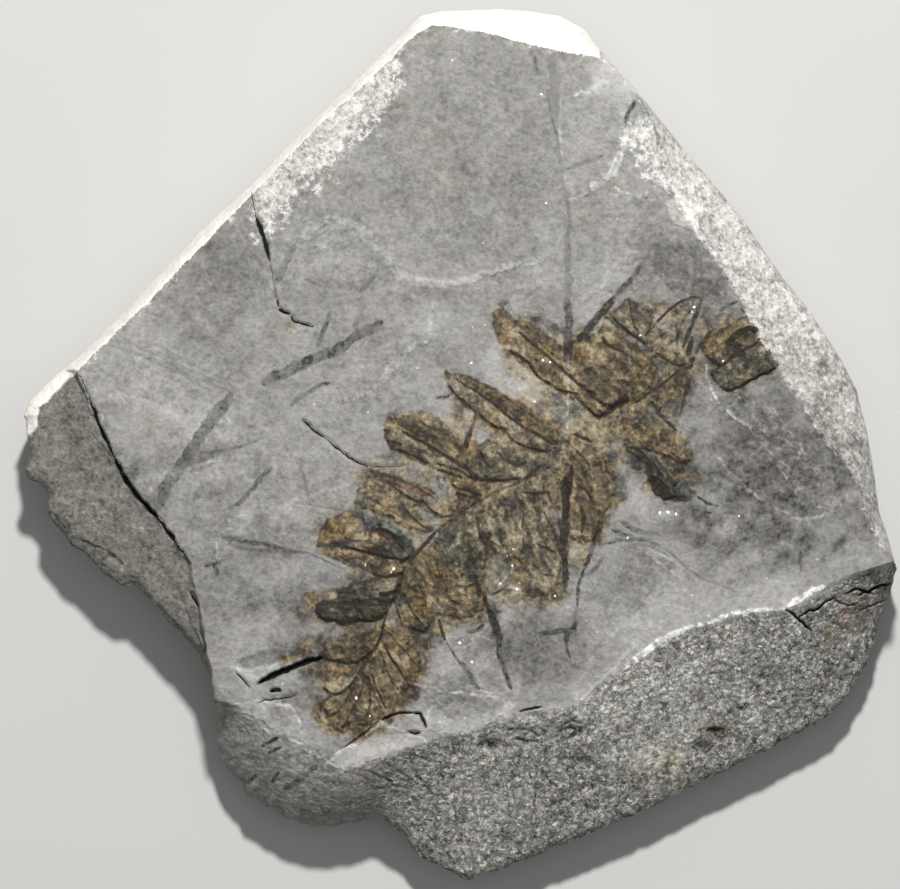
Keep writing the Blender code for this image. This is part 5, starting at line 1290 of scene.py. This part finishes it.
    speckle = start.layer("speckle")
    crustValue = stone["crustValue"] + (speckTag - 0.5) * 0.46 + fine * 0.07 + grain * 0.09 \
        + blotch * 0.07 + cloud * 0.03 + tone * 0.18 - (1 - speckle) * 0.10
    crustMask = (speckle * 1.35 + (speckTag - 0.5) * 0.7 + fine * 0.10 + blotch * 0.14 - 0.62).over(0.0, 0.50)
    colour = (crustMask * speckle.over(0.02, 0.3) * 0.9).mix(colour, crustValue.ramp(stone["crust"]))
    rindMask = (start.layer("rind") + fine * 0.06).over(0.3, 0.6)
    rindValue = stone["rindValue"] + blotch * 0.07 + fine * 0.05 + cloud * 0.05
    colour = rindMask.mix(colour, rindValue.ramp(stone["rind"]))

    # dark lines, brown where they lie on the film: carbon lines and painted shadow lines; cracks painted near-black
    # as shade in their gaps; grains with painted white and amber glints
    carbonAndShadowMask = (start.layer("ink") * (0.85 + film * 0.30 + fine * 0.20 + grain * 0.18 + blotch * 0.14)).over(0.0, 0.80)
    colour = (carbonAndShadowMask * 0.95).mix(colour, film.mix(rgba(stone["ink"]), rgba(stone["umber"])))
    crackGap, crackWide = start.layer("crack"), start.layer("crackWide")
    crackGap = crackGap.maths("ABSOLUTE", crackGap, 0)
    # painted shade: the cracks are filled with near-black where their gaps lie in shadow
    crackShadeMask = (crackWide - crackGap + (fine + grain) * 0.012).over(0.0, 0.07) * crackWide.over(0.0, 0.03)
    colour = crackShadeMask.mix(colour, rgba(stone["crackShade"]))
    # painted highlights: the glints as amber and white dots
    colour = start.layer("amber").over(0.25, 0.7).mix(colour, rgba(stone["amber"]))
    colour = start.layer("white").over(0.25, 0.7).mix(colour, rgba(stone["white"]))
    tree.links.new(colour.socket, shader.inputs["Base Color"])

    rough = stone["roughness"] - carbonAndShadowMask * (1 - film) * 0.30 - filmMask * 0.10 + grain * 0.03
    tree.links.new(rough.socket, shader.inputs["Roughness"])
    height = 0.5 + fine * 0.10 + grain * 0.07 + (tag * 0.25 - gap * 0.35) * start.layer("gritty")
    bump = start.node("ShaderNodeBump", {}, {"Strength": stone["bumpStrength"], "Distance": stone["bumpDepth"],
                                             "Height": height})
    tree.links.new(bump.socket, shader.inputs["Normal"])
    shader.inputs["Specular IOR Level"].default_value = stone["specular"]
    print("finish", name, "made")
    return material


shale = stoneFinish("split_shale")
# Where the patch that carries the frond meets the crest and the bevel, and where its lower border bends.
corner = {"tip": (262, 712), "heel": (425, 742), "high": (745, 312), "low": (790, 392), "bend": (470, 640)}
topLine, bottomLine = spread(frondTop, 3), spread(frondBottom, 3)
buildPatch("fern_face_upper", fernFaceUpper, rind, topLine,
           np.concatenate([shelf, between(crest, (215, 700), corner["tip"])]),
           between(bevel, (600, 57), corner["high"]), shale)
buildPatch("frond_bed", frondBed, topLine, bottomLine, between(crest, corner["tip"], corner["heel"]),
           between(bevel, corner["high"], corner["low"]), shale)
buildPatch("fern_face_lower", fernFaceLower, between(bottomLine, corner["bend"], corner["low"]),
           between(crest, corner["heel"], (893, 562)), between(bottomLine, corner["heel"], corner["bend"])[::-1],
           between(bevel, corner["low"], (893, 562)), shale)
bands = [breakLine(share) for share in (0, brokenSide["share"])]
ends = [np.array([bands[0][end], bands[1][end]]) for end in (0, -1)]
buildPatch("broken_side", brokenSide, *bands, *ends, shale)
buildBody("slab_sides", shale)
print("stone built")


stage = {"floorSize": 1.6, "floorColour": (0.50, 0.49, 0.47), "keyPower": 5.8, "keySize": 0.05,
         "keyPlace": (0.03, 0.37, 0.56), "fillPower": 1.3, "fillSize": 1.2, "fillPlace": (0.0, -0.2, 1.1),
         "worldColour": (0.9, 0.95, 1.0), "world": 0.25}
# The camera looks straight down on a middle column and row, and sees so many columns of the plan.
view = {"height": 1.40, "middle": (450.0, 444.5), "columns": 900, "sensor": 36.0, "far": 10}


def buildFloor():
    mesh = bpy.data.meshes.new("floor")
    half = stage["floorSize"] / 2
    mesh.from_pydata([(-half, -half, 0), (half, -half, 0), (half, half, 0), (-half, half, 0)], [], [(0, 1, 2, 3)])
    material = bpy.data.materials.new("floor_paper")
    material.use_nodes = True
    shader = material.node_tree.nodes["Principled BSDF"]
    shader.inputs["Base Color"].default_value = rgba(stage["floorColour"])
    shader.inputs["Roughness"].default_value = 0.9
    mesh.materials.append(material)
    floor = bpy.data.objects.new("floor", mesh)
    bpy.context.scene.collection.objects.link(floor)


def addLight(name, power, size, spot):
    light = bpy.data.lights.new(name, "AREA")
    light.energy, light.size, light.shape = power, size, "DISK"
    lamp = bpy.data.objects.new(name, light)
    lamp.location = spot
    lamp.rotation_euler = (-Vector(spot)).to_track_quat("-Z", "Y").to_euler()
    bpy.context.scene.collection.objects.link(lamp)


def addCamera():
    camera = bpy.data.cameras.new("camera")
    camera.sensor_width = view["sensor"]
    distance = view["height"] - relief["bedding"] * millimetre
    camera.lens = view["sensor"] * distance / (view["columns"] * unit)
    camera.clip_end = view["far"]
    eye = bpy.data.objects.new("camera", camera)
    column, row = view["middle"]
    eye.location = ((column - middle[0]) * unit, (middle[1] - row) * unit, view["height"])
    bpy.context.scene.collection.objects.link(eye)
    bpy.context.scene.camera = eye


buildFloor()
addLight("key", stage["keyPower"], stage["keySize"], stage["keyPlace"])
addLight("fill", stage["fillPower"], stage["fillSize"], stage["fillPlace"])
addCamera()
world = bpy.data.worlds.new("studio")
world.use_nodes = True
background = world.node_tree.nodes["Background"]
background.inputs["Color"].default_value = rgba(stage["worldColour"])
background.inputs["Strength"].default_value = stage["world"]
bpy.context.scene.world = world
bpy.context.scene.view_settings.view_transform = "Standard"
print("stage built")
